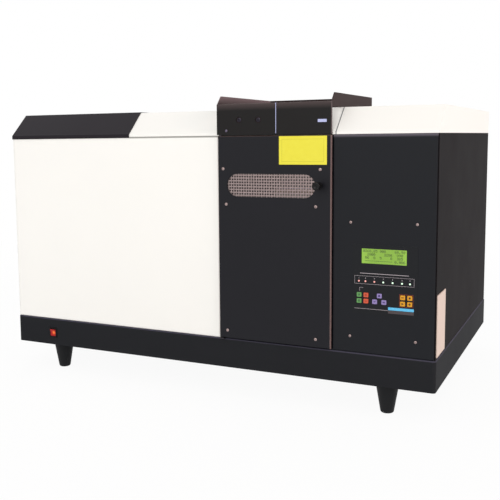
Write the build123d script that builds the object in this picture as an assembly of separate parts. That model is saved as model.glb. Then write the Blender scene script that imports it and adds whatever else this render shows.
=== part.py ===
"""Atomic absorption spectrometer, a bench instrument about 0.88 m wide.

A long black plinth on four tapered feet carries a white lamp section on the left, a black burner bay
with a hinged door in the middle, and a black control section on the right. White bevelled covers close
the top, a black lid opens over the lamps, and a sheet-metal hood rises over the burner. Inside are the
lamp turret, the burner, the monochromator with its grating, the gas valves, the fan and the supply.

Frame: millimetres, +X to the user's right, -Y to the user, +Z up. The origin is on the bench, at the
middle of the whole part's footprint, from the door knob in front to the gas fittings behind.
"""

import math
import os

from build123d import *

os.makedirs("parts", exist_ok=True)

# Overall sizes
width = 880.0
depth = 570.0
foot_height = 56.0
plinth_height = 55.0
front_height = 377.0
cover_height = 47.0
cover_lip = 4.4
bevel_depth = 46.0
bay_width = 217.4
right_width = 180.0
bay_depth = 300.0
beam_height = 287.5

# What stands out past the cabinet, in front and behind
door_proud = 6.0
knob_reach = 28.0
fitting_reach = 22.0

# Sheet, steps and clearances
sheet = 1.5
ledge = 1.5
seam = 0.6
seat = 0.3
running = 0.05
overrun = 20.0

# Levels and faces worked out from the overall sizes
front_overhang = door_proud + knob_reach - ledge
rear_overhang = fitting_reach - ledge
plinth_front = (front_overhang - rear_overhang - depth) / 2
plinth_back = plinth_front + depth
plinth_top = foot_height + plinth_height
front_top = plinth_top + front_height
cover_top = front_top + cover_height
y_front = plinth_front + ledge
y_back = plinth_back - ledge
x_left = -width / 2 + ledge
x_right = width / 2 - ledge
bay_right = width / 2 - right_width
bay_left = bay_right - bay_width
bay_middle = (bay_left + bay_right) / 2
bay_back = y_front + bay_depth
bevel_rise = cover_height - cover_lip
bevel_angle = math.atan2(bevel_rise, bevel_depth)
side_inner = x_right - sheet - seat

# Light path through the flame, from the lamp on the left to the slit on the right
beam_y = y_front + bay_depth / 2
beam_z = plinth_top + beam_height
beam_port_radius = 12.0


def block(x, y, z):
    """A box between two places on each axis."""
    size = [abs(b - a) for a, b in (x, y, z)]
    centre = [(a + b) / 2 for a, b in (x, y, z)]
    return Pos(*centre) * Box(*size)


def rod(axis, centre, radius, ends):
    """A round bar along an axis: centre gives the other two coordinates, in X, Y, Z order."""
    length = abs(ends[1] - ends[0])
    middle = (ends[0] + ends[1]) / 2
    place = {
        "x": (middle, *centre),
        "y": (centre[0], middle, centre[1]),
        "z": (*centre, middle),
    }[axis]
    turn = {"x": Rot(0, 90, 0), "y": Rot(-90, 0, 0), "z": Rot(0, 0, 0)}[axis]
    return Pos(*place) * turn * Cylinder(radius, length)


def around(middle, size):
    """The two ends of a stretch of that size about its middle."""
    return (middle - size / 2, middle + size / 2)


def along(ends, share):
    """The place at a share of the way between two ends."""
    return ends[0] + share * (ends[1] - ends[0])


def yz_prism(points, x):
    """A side profile of (y, z) points, swept from one x to the other."""
    face = make_face(Polyline(*[(0, y, z) for y, z in points], close=True))
    return Pos(x[0], 0, 0) * extrude(face, amount=x[1] - x[0], dir=(1, 0, 0))


def tray(x, y, z, wall, front_radius):
    """A sheet panel with its edges turned back: open behind, rounded in front (its low y face)."""
    body = block(x, y, z)
    body = fillet(body.faces().sort_by(Axis.Y)[0].edges(), front_radius)
    hollow = block((x[0] + wall, x[1] - wall), (y[0] + wall, y[1] + overrun), (z[0] + wall, z[1] - wall))
    return body - hollow


# Plinth: an inverted tray whose deck carries the instrument, closed below by a plate
plinth_wall = 2.0
plinth_corner = 6.0
plinth_edge = 2.4
deck = plinth_top - plinth_wall
switch_inset = 89.8
switch_height = 26.2
switch_body_width = 15.6
switch_body_height = 18.0
switch_x = x_left + switch_inset
switch_z = foot_height + switch_height


def make_plinth():
    body = block((-width / 2, width / 2), (plinth_front, plinth_back), (foot_height, plinth_top))
    body = fillet(body.edges().filter_by(Axis.Z), plinth_corner)
    body = fillet(body.faces().sort_by(Axis.Z)[-1].edges(), plinth_edge)
    room = block(
        (-width / 2 + plinth_wall, width / 2 - plinth_wall),
        (plinth_front + plinth_wall, plinth_back - plinth_wall),
        (foot_height - overrun, deck),
    )
    room = fillet(room.edges().filter_by(Axis.Z), plinth_corner - plinth_wall)
    switch_hole = block(
        around(switch_x, switch_body_width + 2 * seat),
        around(plinth_front, overrun),
        around(switch_z, switch_body_height + 2 * seat),
    )
    return body - room - switch_hole


def make_base_plate():
    inset = plinth_wall + seat
    plate = block(
        (-width / 2 + inset, width / 2 - inset),
        (plinth_front + inset, plinth_back - inset),
        (foot_height, foot_height + plinth_wall),
    )
    return fillet(plate.edges().filter_by(Axis.Z), plinth_corner - inset)


# Feet: four moulded tapers screwed under the base plate
foot_top_radius = 21.0
foot_toe_radius = 11.4
foot_toe_round = 4.0
foot_inset_x = 89.5
foot_inset_y = 38.0


def make_feet():
    feet = []
    for x in (-width / 2 + foot_inset_x, width / 2 - foot_inset_x):
        for y in (plinth_front + foot_inset_y, plinth_back - foot_inset_y):
            cone = Cone(foot_toe_radius, foot_top_radius, foot_height)
            cone = fillet(cone.faces().sort_by(Axis.Z)[0].edges(), foot_toe_round)
            feet.append(Pos(x, y, foot_height / 2) * cone)
    return Compound(children=feet)


# Power switch: a bezel clipped in the plinth, and a lit rocker that tilts in it
switch_rim = 1.7
switch_rim_depth = 1.8
switch_body_depth = 22.0
switch_wall = 1.1
rocker_proud = 2.4
rocker_depth = 8.0
rocker_tilt = 8.0
rocker_pin_radius = 1.5
rocker_floor = 3.0
rocker_width = switch_body_width - 2 * switch_wall - 2 * seat
rocker_pivot_y = plinth_front + rocker_pin_radius + running
rocker_lean = (rocker_pivot_y - plinth_front + rocker_proud) * math.sin(math.radians(rocker_tilt))
rocker_room = switch_body_height / 2 - switch_wall - seat - rocker_lean
rocker_height = 2 * rocker_room / math.cos(math.radians(rocker_tilt))


def make_switch_bezel():
    rim = block(
        around(switch_x, switch_body_width + 2 * switch_rim),
        (plinth_front - switch_rim_depth, plinth_front),
        around(switch_z, switch_body_height + 2 * switch_rim),
    )
    rim = fillet(rim.faces().sort_by(Axis.Y)[0].edges(), switch_rim_depth / 2)
    body = block(
        around(switch_x, switch_body_width),
        (plinth_front, plinth_front + switch_body_depth),
        around(switch_z, switch_body_height),
    )
    well = block(
        around(switch_x, switch_body_width - 2 * switch_wall),
        (plinth_front - overrun, plinth_front + rocker_depth + rocker_floor),
        around(switch_z, switch_body_height - 2 * switch_wall),
    )
    pin_reach = switch_body_width - switch_wall
    pin_hole = rod("x", (rocker_pivot_y, switch_z), rocker_pin_radius + running, around(switch_x, pin_reach))
    return rim + body - well - pin_hole


def make_power_rocker():
    half = rocker_height / 2
    top = plinth_front - rocker_proud - rocker_pivot_y
    dip = -rocker_pin_radius
    root = rocker_depth + plinth_front - rocker_pivot_y
    waist_share = 0.45
    points = [
        (top, -half),
        (top + rocker_proud / 2, 0),
        (top, half),
        (root + dip, half * waist_share),
        (root, 0),
        (root + dip, -half * waist_share),
    ]
    body = yz_prism(points, around(0, rocker_width))
    pin_length = rocker_width + switch_wall
    body += rod("x", (0, 0), rocker_pin_radius, around(0, pin_length))
    return Pos(switch_x, rocker_pivot_y, switch_z) * Rot(rocker_tilt, 0, 0) * body


# Round-headed screws, with a clearance hole for each in the panel it holds
screw_head_radius = 2.9
screw_head_height = 1.6
screw_head_round_share = 0.75
screw_shank_radius = 1.5
screw_shank_length = 6.0


def screw(x, y, z, head_radius=screw_head_radius):
    """A screw pressed in along +Y, with its head on the face at y."""
    head = rod("y", (x, z), head_radius, (y - screw_head_height, y))
    head = fillet(head.faces().sort_by(Axis.Y)[0].edges(), screw_head_height * screw_head_round_share)
    return head + rod("y", (x, z), screw_shank_radius, (y, y + screw_shank_length))


def screw_hole(x, y, z):
    """The clearance hole for that screw through a panel whose face is at y."""
    return rod("y", (x, z), screw_shank_radius + running, around(y, overrun))


# Cabinet panels of folded sheet
panel_fold = 14.0
panel_edge = 2.5
panel_z = (plinth_top, front_top)


def make_left_front_panel():
    return tray((-side_inner, bay_left - seam), (y_front, y_front + panel_fold), panel_z, sheet, panel_edge)


def make_side_panel(sign):
    faces = sorted((sign * x_right, sign * (x_right - sheet)))
    return block(faces, (y_front + sheet, y_back), panel_z)


# Pale blank plate low on the right side
side_plate_inset = 6.5
side_plate_rise = 3.5
side_plate_width = 71.0
side_plate_height = 106.0
side_plate_corner = 2.0
side_plate_thickness = ledge - seat


def make_side_plate():
    y = (y_front + side_plate_inset, y_front + side_plate_inset + side_plate_width)
    z = (plinth_top + side_plate_rise, plinth_top + side_plate_rise + side_plate_height)
    plate = block((x_right, x_right + side_plate_thickness), y, z)
    return fillet(plate.edges().filter_by(Axis.X), side_plate_corner)


# Fan behind a slotted grille in the rear panel
fan_inset = 150.0
fan_height = 235.0
fan_size = 120.0
fan_depth = 25.0
fan_corner = 5.0
fan_bore_radius = 57.0
fan_hub_radius = 19.0
fan_tip_radius = 54.0
fan_blade_count = 7
fan_blade_thickness = 1.6
fan_blade_pitch = 35.0
fan_shaft_radius = 2.5
fan_strut_width = 5.0
fan_strut_depth = 4.0
fan_strut_count = 3
fan_x = x_left + fan_inset
fan_z = plinth_top + fan_height
fan_front = y_back - sheet - fan_depth
grille_slot = 5.0
grille_pitch = 10.0
grille_margin = 4.0

# Mains inlet and gas fittings in the rear panel
inlet_inset = 60.0
inlet_height = 45.0
inlet_body_width = 27.4
inlet_body_height = 20.4
inlet_body_depth = 28.0
inlet_recess_depth = 16.0
inlet_wall = 2.2
inlet_flange_width = 49.0
inlet_flange_depth = 3.0
inlet_blade_width = 4.0
inlet_blade_thickness = 2.0
inlet_blade_length = 13.0
inlet_blade_spread = 7.0
inlet_x = x_left + inlet_inset
inlet_z = plinth_top + inlet_height
fitting_inset = 60.0
fitting_height = 60.0
fitting_pitch = 40.0
fitting_count = 3
fitting_thread_radius = 6.0
fitting_nut_radius = 9.0
fitting_nut_depth = 6.0
fitting_tube_radius = 4.0
fitting_bore_radius = 2.5
fitting_tail = 12.0
fitting_x = x_right - fitting_inset
fitting_z = plinth_top + fitting_height


def fitting_places():
    return [(fitting_x - i * fitting_pitch, fitting_z) for i in range(fitting_count)]


def make_rear_panel():
    panel = block((-side_inner, side_inner), (y_back - sheet, y_back), panel_z)
    reach = fan_bore_radius - grille_margin
    rows = int(reach // grille_pitch)
    for row in range(-rows, rows + 1):
        rise = row * grille_pitch
        chord = 2 * math.sqrt(reach**2 - rise**2)
        panel -= block(around(fan_x, chord), around(y_back, overrun), around(fan_z + rise, grille_slot))
    panel -= block(
        around(inlet_x, inlet_body_width + 2 * seat),
        around(y_back, overrun),
        around(inlet_z, inlet_body_height + 2 * seat),
    )
    for x, z in fitting_places():
        panel -= rod("y", (x, z), fitting_thread_radius + running, around(y_back, overrun))
    return panel


def make_fan_frame():
    y = (fan_front, fan_front + fan_depth)
    frame = block(around(fan_x, fan_size), y, around(fan_z, fan_size))
    frame = fillet(frame.edges().filter_by(Axis.Y), fan_corner)
    frame -= rod("y", (fan_x, fan_z), fan_bore_radius, (y[0] - overrun, y[1] + overrun))
    strut_y = (fan_front, fan_front + fan_strut_depth)
    frame += rod("y", (fan_x, fan_z), fan_hub_radius, strut_y)
    for i in range(fan_strut_count):
        strut = block((0, fan_bore_radius + sheet), strut_y, around(0, fan_strut_width))
        frame += Pos(fan_x, 0, fan_z) * Rot(0, i * 360 / fan_strut_count, 0) * strut
    return frame - rod("y", (fan_x, fan_z), fan_shaft_radius + running, around(fan_front, overrun))


def make_fan_rotor():
    y = (fan_front + fan_strut_depth + seat, fan_front + fan_depth - grille_margin)
    hub = rod("y", (0, 0), fan_hub_radius, y)
    hub += rod("y", (0, 0), fan_shaft_radius, (fan_front, y[1]))
    for i in range(fan_blade_count):
        span = (fan_hub_radius - sheet, fan_tip_radius)
        blade = block(span, around(0, y[1] - y[0]), around(0, fan_blade_thickness))
        blade = Pos(0, (y[0] + y[1]) / 2, 0) * Rot(fan_blade_pitch, 0, 0) * blade
        hub += Rot(0, i * 360 / fan_blade_count, 0) * blade
    return Pos(fan_x, 0, fan_z) * hub


def make_mains_inlet():
    flange_y = (y_back, y_back + inlet_flange_depth)
    flange_z = around(inlet_z, inlet_body_height + inlet_wall)
    flange = block(around(inlet_x, inlet_flange_width), flange_y, flange_z)
    body_y = (y_back + inlet_flange_depth - inlet_body_depth, y_back)
    body = block(around(inlet_x, inlet_body_width), body_y, around(inlet_z, inlet_body_height))
    recess = block(
        around(inlet_x, inlet_body_width - 2 * inlet_wall),
        (flange_y[1] - inlet_recess_depth, flange_y[1] + overrun),
        around(inlet_z, inlet_body_height - 2 * inlet_wall),
    )
    inlet = flange + body - recess
    floor_y = flange_y[1] - inlet_recess_depth
    for column, row in ((-1, 0), (0, 1), (1, 0)):
        inlet += block(
            around(inlet_x + column * inlet_blade_spread, inlet_blade_thickness),
            (floor_y - inlet_wall, floor_y + inlet_blade_length),
            around(inlet_z + row * inlet_blade_width, inlet_blade_width),
        )
    return inlet


def make_gas_fittings():
    fittings = []
    for x, z in fitting_places():
        thread = rod("y", (x, z), fitting_thread_radius, (y_back - fitting_tail, y_back + fitting_nut_depth))
        inner_nut_y = (y_back - sheet - fitting_nut_depth, y_back - sheet)
        for ends in ((y_back, y_back + fitting_nut_depth), inner_nut_y):
            nut = Plane.XZ.offset(-ends[0]) * RegularPolygon(fitting_nut_radius, 6)
            thread += Pos(x, 0, z) * extrude(nut, amount=-fitting_nut_depth)
        thread += rod("y", (x, z), fitting_tube_radius, (y_back, y_back + fitting_reach))
        thread -= rod("y", (x, z), fitting_bore_radius, (y_back - overrun, y_back + fitting_reach + overrun))
        fittings.append(thread)
    return Compound(children=fittings)


# Top covers: bent sheet with a sloping front, closed at both ends
split_step = 5.0
cover_split = bay_right + split_step
mouth_margin = 13.0
chimney_margin_x = 12.0
chimney_front = 56.0
chimney_depth = 180.0


def cover_profile(offset, floor):
    """The covers' side profile moved out by an offset, with its foot at a level."""
    lip_z = front_top + cover_lip + offset * math.tan((math.pi / 2 - bevel_angle) / 2)
    brow_y = y_front + bevel_depth - offset * math.tan(bevel_angle / 2)
    top = cover_top + offset
    return [
        (y_front - offset, floor),
        (y_front - offset, lip_z),
        (brow_y, top),
        (y_back + offset, top),
        (y_back + offset, floor),
    ]


def make_cover(x):
    outer = yz_prism(cover_profile(0, front_top), x)
    inner = yz_prism(cover_profile(-sheet, front_top - overrun), (x[0] + sheet, x[1] - sheet))
    return outer - inner


# Lamp lid: lies on the cover, laps the front panel a little and turns on a rod behind it
lid_width = 288.5
lid_depth = 300.0
lid_thickness = 1.0
lid_drop = 2.0
knuckle_radius = 3.5
lid_pin_radius = 2.0
knuckle_margin = 18.0
lug_width = 8.0
lid_right = x_left + lid_width
lid_back = y_front + lid_depth
lid_pivot_z = cover_top + seat + knuckle_radius
lid_pivot_y = lid_back + knuckle_radius


def make_left_top_cover():
    cover = make_cover((x_left, cover_split - seam / 2))
    mouth = block(
        (x_left + mouth_margin, lid_right - mouth_margin),
        (y_front + mouth_margin, lid_back - mouth_margin),
        (front_top + cover_lip + sheet, cover_top + overrun),
    )
    chimney = block(
        (bay_left + chimney_margin_x, bay_right - chimney_margin_x),
        (y_front + chimney_front, y_front + chimney_front + chimney_depth),
        around(cover_top, overrun),
    )
    return cover - mouth - chimney


def make_right_top_cover():
    return make_cover((cover_split + seam / 2, x_right))


def make_lamp_lid():
    x = (x_left, lid_right)
    outer = yz_prism(cover_profile(seat + lid_thickness, front_top - lid_drop), x)
    inside = yz_prism(cover_profile(seat, front_top - overrun), (x[0] - overrun, x[1] + overrun))
    behind = block(
        (x[0] - overrun, x[1] + overrun),
        (lid_back, y_back + overrun),
        (front_top - overrun, cover_top + overrun),
    )
    lid = outer - inside - behind
    knuckle_x = (x[0] + knuckle_margin, x[1] - knuckle_margin)
    knuckle = rod("x", (lid_pivot_y, lid_pivot_z), knuckle_radius, knuckle_x)
    web = block(
        knuckle_x,
        (lid_back - lid_thickness, lid_pivot_y),
        (cover_top + seat, cover_top + seat + lid_thickness),
    )
    return lid + knuckle + web - rod("x", (lid_pivot_y, lid_pivot_z), lid_pin_radius + running, x)


# Burner door: a deep tray, proud of the panels beside it, hinged at its left edge
door_fold = 12.0
door_gap = 1.2
door_edge = 2.5
door_face = y_front - door_proud
door_x = (bay_left + door_gap, bay_right - seam)
door_z = (plinth_top + 2 * door_gap, front_top - door_gap)
window_width = 168.4
window_height = 42.0
window_inset = 104.0
window_x = bay_left + window_inset
window_z = beam_z
hinge_pin_radius = 1.8
hinge_inset_x = 5.0
hinge_inset_y = 3.5
hinge_reach = 9.0
hinge_x = door_x[0] + hinge_inset_x
hinge_y = door_face + hinge_inset_y
upper_screw_shares = [(0.05, 0.8425), (0.9096, 0.8425)]
window_screw_shares = (0.076, 0.8725)
window_screw_drop = 14.0
lower_screw_shares = [(0.077, 0.0403), (0.8734, 0.0403)]
knob_inset = 18.4
knob_rise = 2.0
knob_radius = 7.0
knob_stem_radius = 3.5
knob_stem_length = 10.0
knob_dish_radius = 5.0
knob_dish_depth = 1.5
knob_round = 1.5
knob_x = door_x[1] - knob_inset
knob_z = window_z + knob_rise


def door_screw_places():
    """Two screws near the door's top, two that hang under the window, and two near the door's foot."""
    corner_shares = upper_screw_shares + lower_screw_shares
    corners = [(along(door_x, x_share), along(door_z, z_share)) for x_share, z_share in corner_shares]
    window_screw_z = window_z - window_height / 2 - window_screw_drop
    return corners + [(along(door_x, share), window_screw_z) for share in window_screw_shares]


def window_outline(grow):
    """The door window's round-ended outline, grown on every side."""
    return SlotOverall(window_width + 2 * grow, window_height + 2 * grow)


def make_burner_door():
    door = tray(door_x, (door_face, door_face + door_fold), door_z, sheet, door_edge)
    cutter = extrude(Plane.XZ * window_outline(0), amount=overrun / 2, both=True)
    door -= Pos(window_x, door_face, window_z) * cutter
    for x, z in door_screw_places():
        door -= screw_hole(x, door_face, z)
    door -= rod("y", (knob_x, knob_z), knob_stem_radius + running, around(door_face, overrun))
    for z in door_z:
        door -= rod("z", (hinge_x, hinge_y), hinge_pin_radius + running, around(z, 2 * sheet + seat))
    return door


# Window mesh: a stainless screen clamped behind the door sheet
mesh_margin = 5.0
mesh_thickness = 0.8
mesh_columns = 34
mesh_rows = 8
mesh_wire_share = 0.3


def make_door_mesh():
    plate = Rectangle(window_width + 2 * mesh_margin, window_height + 2 * mesh_margin)
    pitch_x = window_width / mesh_columns
    pitch_z = window_height / mesh_rows
    hole = Rectangle(pitch_x * (1 - mesh_wire_share), pitch_z * (1 - mesh_wire_share))
    holes = [place * hole for place in GridLocations(pitch_x, pitch_z, mesh_columns, mesh_rows)]
    screen = extrude(Plane.XZ * (plate - holes), amount=-mesh_thickness)
    return Pos(window_x, door_face + sheet, window_z) * screen


def make_door_knob():
    tip = door_face - knob_reach
    grip = rod("y", (knob_x, knob_z), knob_radius, (tip, door_face - knob_stem_length))
    grip = fillet(grip.edges().filter_by(GeomType.CIRCLE), knob_round)
    dish_sphere = (knob_dish_radius**2 + knob_dish_depth**2) / (2 * knob_dish_depth)
    dish = Pos(knob_x, tip + knob_dish_depth - dish_sphere, knob_z) * Sphere(dish_sphere)
    stem = rod("y", (knob_x, knob_z), knob_stem_radius, (door_face - knob_stem_length, door_face + sheet))
    return grip - dish + stem


def make_door_screws():
    return Compound(children=[screw(x, door_face, z) for x, z in door_screw_places()])


# Bare yellow plate at the door's top right corner
door_plate_width = 87.8
door_plate_height = 49.5
door_plate_thickness = 0.6
door_plate_inset = 7.6
door_plate_drop = 1.1


def make_door_plate():
    right = door_x[1] - door_plate_inset
    top = door_z[1] - door_plate_drop
    y = (door_face - door_plate_thickness, door_face)
    return block((right - door_plate_width, right), y, (top - door_plate_height, top))


# Hood: cheeks, back and inner front over the burner, with two apron plates hung in front
hood_rise = 24.4
hood_depth = 252.0
hood_slant_rise = 15.2
hood_slant_depth = 16.0
hood_corner_round = 5.0
apron_gap = 1.6
apron_split_inset = 115.0
apron_step = 1.2
apron_round = 1.4
apron_split = bay_left + apron_split_inset
apron_bottom = front_top + apron_step
hood_top = cover_top + hood_rise
apron_top = hood_top - hood_slant_rise
inner_front_bottom = apron_bottom + sheet + seat
hood_back = door_face + hood_depth
hood_screw_hole_radius = 5.5
hood_screw_head_radius = 4.2
hood_screw_shares = [(0.386, 0.476), (0.713, 0.469)]
apron_screw_share = (0.167, 0.133)
apron_left_x = (bay_left, apron_split - apron_gap / 2)
apron_right_x = (apron_split + apron_gap / 2, bay_right)
apron_z = (apron_bottom, apron_top)


def apron_place(x_share, z_share):
    """A place on the left apron, at shares of its width and height."""
    return (along(apron_left_x, x_share), along(apron_z, z_share))


def make_hood_cheek(x):
    profile = [
        (door_face + sheet, cover_top),
        (door_face + sheet, apron_top),
        (door_face + hood_slant_depth, hood_top),
        (hood_back, hood_top),
        (hood_back, cover_top),
    ]
    cheek = yz_prism(profile, x)
    crest = cheek.edges().filter_by(Axis.X).group_by(Axis.Z)[-1].sort_by(Axis.Y)[0]
    return fillet(crest, hood_corner_round)


def make_hood_shell():
    inner_face = door_face + sheet
    shell = make_hood_cheek((bay_left, bay_left + sheet))
    shell += make_hood_cheek((bay_right - sheet, bay_right))
    shell += block((bay_left, bay_right), (hood_back - sheet, hood_back), (cover_top, hood_top))
    front_z = (inner_front_bottom, apron_top)
    inner_front = block((bay_left, bay_right), (inner_face, inner_face + sheet), front_z)
    for shares in [*hood_screw_shares, apron_screw_share]:
        x, z = apron_place(*shares)
        inner_front -= screw_hole(x, inner_face, z)
    return shell + inner_front


def make_apron(x):
    apron = block(x, (door_face, door_face + sheet), apron_z)
    apron += block(x, (door_face, y_front - seat), (apron_bottom, apron_bottom + sheet))
    crest = apron.edges().filter_by(Axis.X).group_by(Axis.Z)[-1].sort_by(Axis.Y)[0]
    return fillet(crest, apron_round)


def make_hood_apron_left():
    apron = make_apron(apron_left_x)
    for shares in hood_screw_shares:
        x, z = apron_place(*shares)
        apron -= rod("y", (x, z), hood_screw_hole_radius, around(door_face, overrun / 2))
    x, z = apron_place(*apron_screw_share)
    apron -= screw_hole(x, door_face, z)
    return apron - rod("z", (hinge_x, hinge_y), hinge_pin_radius + running, around(apron_bottom, overrun / 2))


def make_hood_apron_right():
    return make_apron(apron_right_x)


# Bright strip laid in the gap between the aprons, and the small bare plate on the right one
strip_gap = 0.2
strip_thickness = 1.0
apron_plate_width = 16.0
apron_plate_height = 5.0
apron_plate_thickness = 0.8
apron_plate_inset = 8.7
apron_plate_share = 0.405


def make_hood_trim():
    inner_face = door_face + sheet
    x = around(apron_split, apron_gap - 2 * strip_gap)
    strip = block(x, (inner_face - strip_thickness, inner_face), (inner_front_bottom, apron_top))
    right = bay_right - apron_plate_inset
    y = (door_face - apron_plate_thickness, door_face)
    z = around(along(apron_z, apron_plate_share), apron_plate_height)
    plate = block((right - apron_plate_width, right), y, z)
    return Compound(children=[strip, plate])


# Hinge pins: the door turns on one pin above and one below, the lid on a long rod
hinge_tab_width = 9.0


def make_hinge_pins():
    upper = rod("z", (hinge_x, hinge_y), hinge_pin_radius, (door_z[1] - hinge_reach, apron_bottom + sheet))
    tab_y = (hinge_y - hinge_tab_width / 2, y_front + panel_fold)
    tab = block(around(hinge_x, hinge_tab_width), tab_y, (plinth_top, plinth_top + door_gap))
    lower = tab + rod("z", (hinge_x, hinge_y), hinge_pin_radius, (plinth_top, door_z[0] + hinge_reach))
    ends = (x_left + knuckle_margin / 2, lid_right - knuckle_margin / 2)
    lid_rod = rod("x", (lid_pivot_y, lid_pivot_z), lid_pin_radius, ends)
    lug_radius = knuckle_radius - seat
    for x in ends:
        lug_x = around(x, lug_width)
        lid_rod += block(lug_x, around(lid_pivot_y, 2 * lug_radius), (cover_top, lid_pivot_z))
        lid_rod += rod("x", (lid_pivot_y, lid_pivot_z), lug_radius, lug_x)
    return Compound(children=[upper, lower, lid_rod])


# Control overlay on the right front panel, with the display window, lamp row and key holes
right_panel_x = (bay_right + seam, side_inner)
overlay_inset = 37.0
overlay_rise = 70.0
overlay_width = 111.0
overlay_height = 120.0
overlay_thickness = 0.4
overlay_x = (bay_right + overlay_inset, bay_right + overlay_inset + overlay_width)
overlay_z = (plinth_top + overlay_rise, plinth_top + overlay_rise + overlay_height)
overlay_face = y_front - overlay_thickness
panel_back = y_front + sheet
display_width = 76.6
display_height = 25.4
display_share = (0.485, 0.838)
display_x = along(overlay_x, display_share[0])
display_z = along(overlay_z, display_share[1])
lamp_radius = 1.5
lamp_clearance = 0.15
lamp_row_share = 0.4745
lamp_shares = [0.099, 0.202, 0.341, 0.479, 0.622, 0.765, 0.884]
panel_screw_shares = [(0.183, 0.603), (0.824, 0.603), (0.183, 0.077), (0.824, 0.077)]

# Keys: sprung caps in groups, each guided by its hole and its switch
key_width = 8.4
key_height = 8.0
key_web = 3.5
key_row_web = 2.6
key_gap = 0.2
key_proud = 1.0
key_travel = 0.6
key_flange = 0.25
key_flange_thickness = 1.2
key_stem_radius = 1.5
key_corner = 1.2
key_edge = 0.5
key_base_share = 0.189
key_pitch = key_width + key_web
key_row_pitch = key_height + key_row_web
key_group_shares = {"mode": 0.16, "cursor": 0.4215, "run": 0.832}
key_cursor_spread_share = 1.33
key_place_shares = {
    "key_green_upper": ("mode", -0.5, 1),
    "key_green_lower": ("mode", -0.5, 0),
    "key_red_upper": ("mode", 0.5, 1),
    "key_red_lower": ("mode", 0.5, 0),
    "key_purple_upper": ("cursor", 0, 1),
    "key_purple_left": ("cursor", -key_cursor_spread_share / 2, 0),
    "key_purple_right": ("cursor", key_cursor_spread_share / 2, 0),
    "key_amber_upper_left": ("run", -0.5, 1),
    "key_amber_upper_right": ("run", 0.5, 1),
    "key_amber_lower_left": ("run", -0.5, 0),
    "key_amber_lower_right": ("run", 0.5, 0),
}
key_flange_y = (panel_back, panel_back + key_flange_thickness)
key_stem_length = 6.0
key_stem_tip = key_flange_y[1] + key_stem_length


def key_place(name):
    group, column, row = key_place_shares[name]
    x = along(overlay_x, key_group_shares[group]) + column * key_pitch
    return (x, along(overlay_z, key_base_share) + row * key_row_pitch)


def lamp_places():
    z = along(overlay_z, lamp_row_share)
    return [(along(overlay_x, share), z) for share in lamp_shares]


def panel_screw_places():
    return [(along(right_panel_x, a), along(panel_z, b)) for a, b in panel_screw_shares]


def control_openings(y):
    """The display, key and lamp openings through the panel and its overlay."""
    cuts = block(around(display_x, display_width), y, around(display_z, display_height))
    for name in key_place_shares:
        x, z = key_place(name)
        cuts += block(around(x, key_width + 2 * key_gap), y, around(z, key_height + 2 * key_gap))
    for x, z in lamp_places():
        cuts += rod("y", (x, z), lamp_radius + lamp_clearance, y)
    return cuts


def make_right_front_panel():
    panel = tray(right_panel_x, (y_front, y_front + panel_fold), panel_z, sheet, panel_edge)
    panel -= control_openings(around(y_front, overrun / 2))
    for x, z in panel_screw_places():
        panel -= screw_hole(x, y_front, z)
    return panel


def make_control_overlay():
    overlay = block(overlay_x, (overlay_face, y_front), overlay_z)
    return overlay - control_openings(around(y_front, overrun / 2))


def make_key(name):
    x, z = key_place(name)
    cap = block(around(0, key_width), (overlay_face - key_proud, panel_back), around(0, key_height))
    cap = fillet(cap.edges().filter_by(Axis.Y), key_corner)
    cap = fillet(cap.faces().sort_by(Axis.Y)[0].edges(), key_edge)
    flange_x = around(0, key_width + 2 * (key_gap + key_flange))
    flange_z = around(0, key_height + 2 * (key_gap + key_flange))
    flange = block(flange_x, key_flange_y, flange_z)
    stem = rod("y", (0, 0), key_stem_radius, (key_flange_y[1], key_stem_tip))
    return Pos(x, 0, z) * (cap + flange + stem)


def make_cabinet_screws():
    """Fixed screws: four in the right panel, two behind the hood's holes and one in its apron."""
    screws = [screw(x, y_front, z) for x, z in panel_screw_places()]
    for shares in hood_screw_shares:
        x, z = apron_place(*shares)
        screws.append(screw(x, door_face + sheet, z, hood_screw_head_radius))
    x, z = apron_place(*apron_screw_share)
    screws.append(screw(x, door_face, z))
    return Compound(children=screws)


# Display board: a board on four studs behind the panel, with the display, key switches and lamps
board_thickness = 1.6
board_margin = 3.0
board_stud_radius = 3.0
board_gap = 0.3
module_frame_width = 97.0
module_frame_height = 40.0
switch_can = 6.2
switch_can_depth = 4.0
board_front = key_stem_tip + key_travel + board_gap
board_y = (board_front, board_front + board_thickness)


def make_status_lamps():
    y = (overlay_face, board_front)
    return Compound(children=[rod("y", place, lamp_radius, y) for place in lamp_places()])


def make_display_window():
    x = around(display_x, display_width - 2 * running)
    z = around(display_z, display_height - 2 * running)
    return block(x, (overlay_face, panel_back), z)


def make_display_board():
    board_x = (overlay_x[0] + board_margin, overlay_x[1] - board_margin)
    board_z = (overlay_z[0] + board_margin, overlay_z[1] - board_margin)
    board = block(board_x, board_y, board_z)
    frame_x = around(display_x, module_frame_width)
    board += block(frame_x, (panel_back + seat, board_front), around(display_z, module_frame_height))
    for x in (board_x[0] + board_stud_radius, board_x[1] - board_stud_radius):
        foot_z = board_z[0] + board_stud_radius
        board += rod("y", (x, foot_z), board_stud_radius, (panel_back, board_front))
    for name in key_place_shares:
        x, z = key_place(name)
        can_y = (board_front - switch_can_depth, board_front)
        board += block(around(x, switch_can), can_y, around(z, switch_can))
        board -= rod("y", (x, z), key_stem_radius + seat, (can_y[0] - overrun, board_front))
    return board


# Burner bay: three walls round the flame, with a port for the light on each side
tray_depth = 8.0
tray_wall = 1.0
bay_front = y_front + panel_fold + seat


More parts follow.
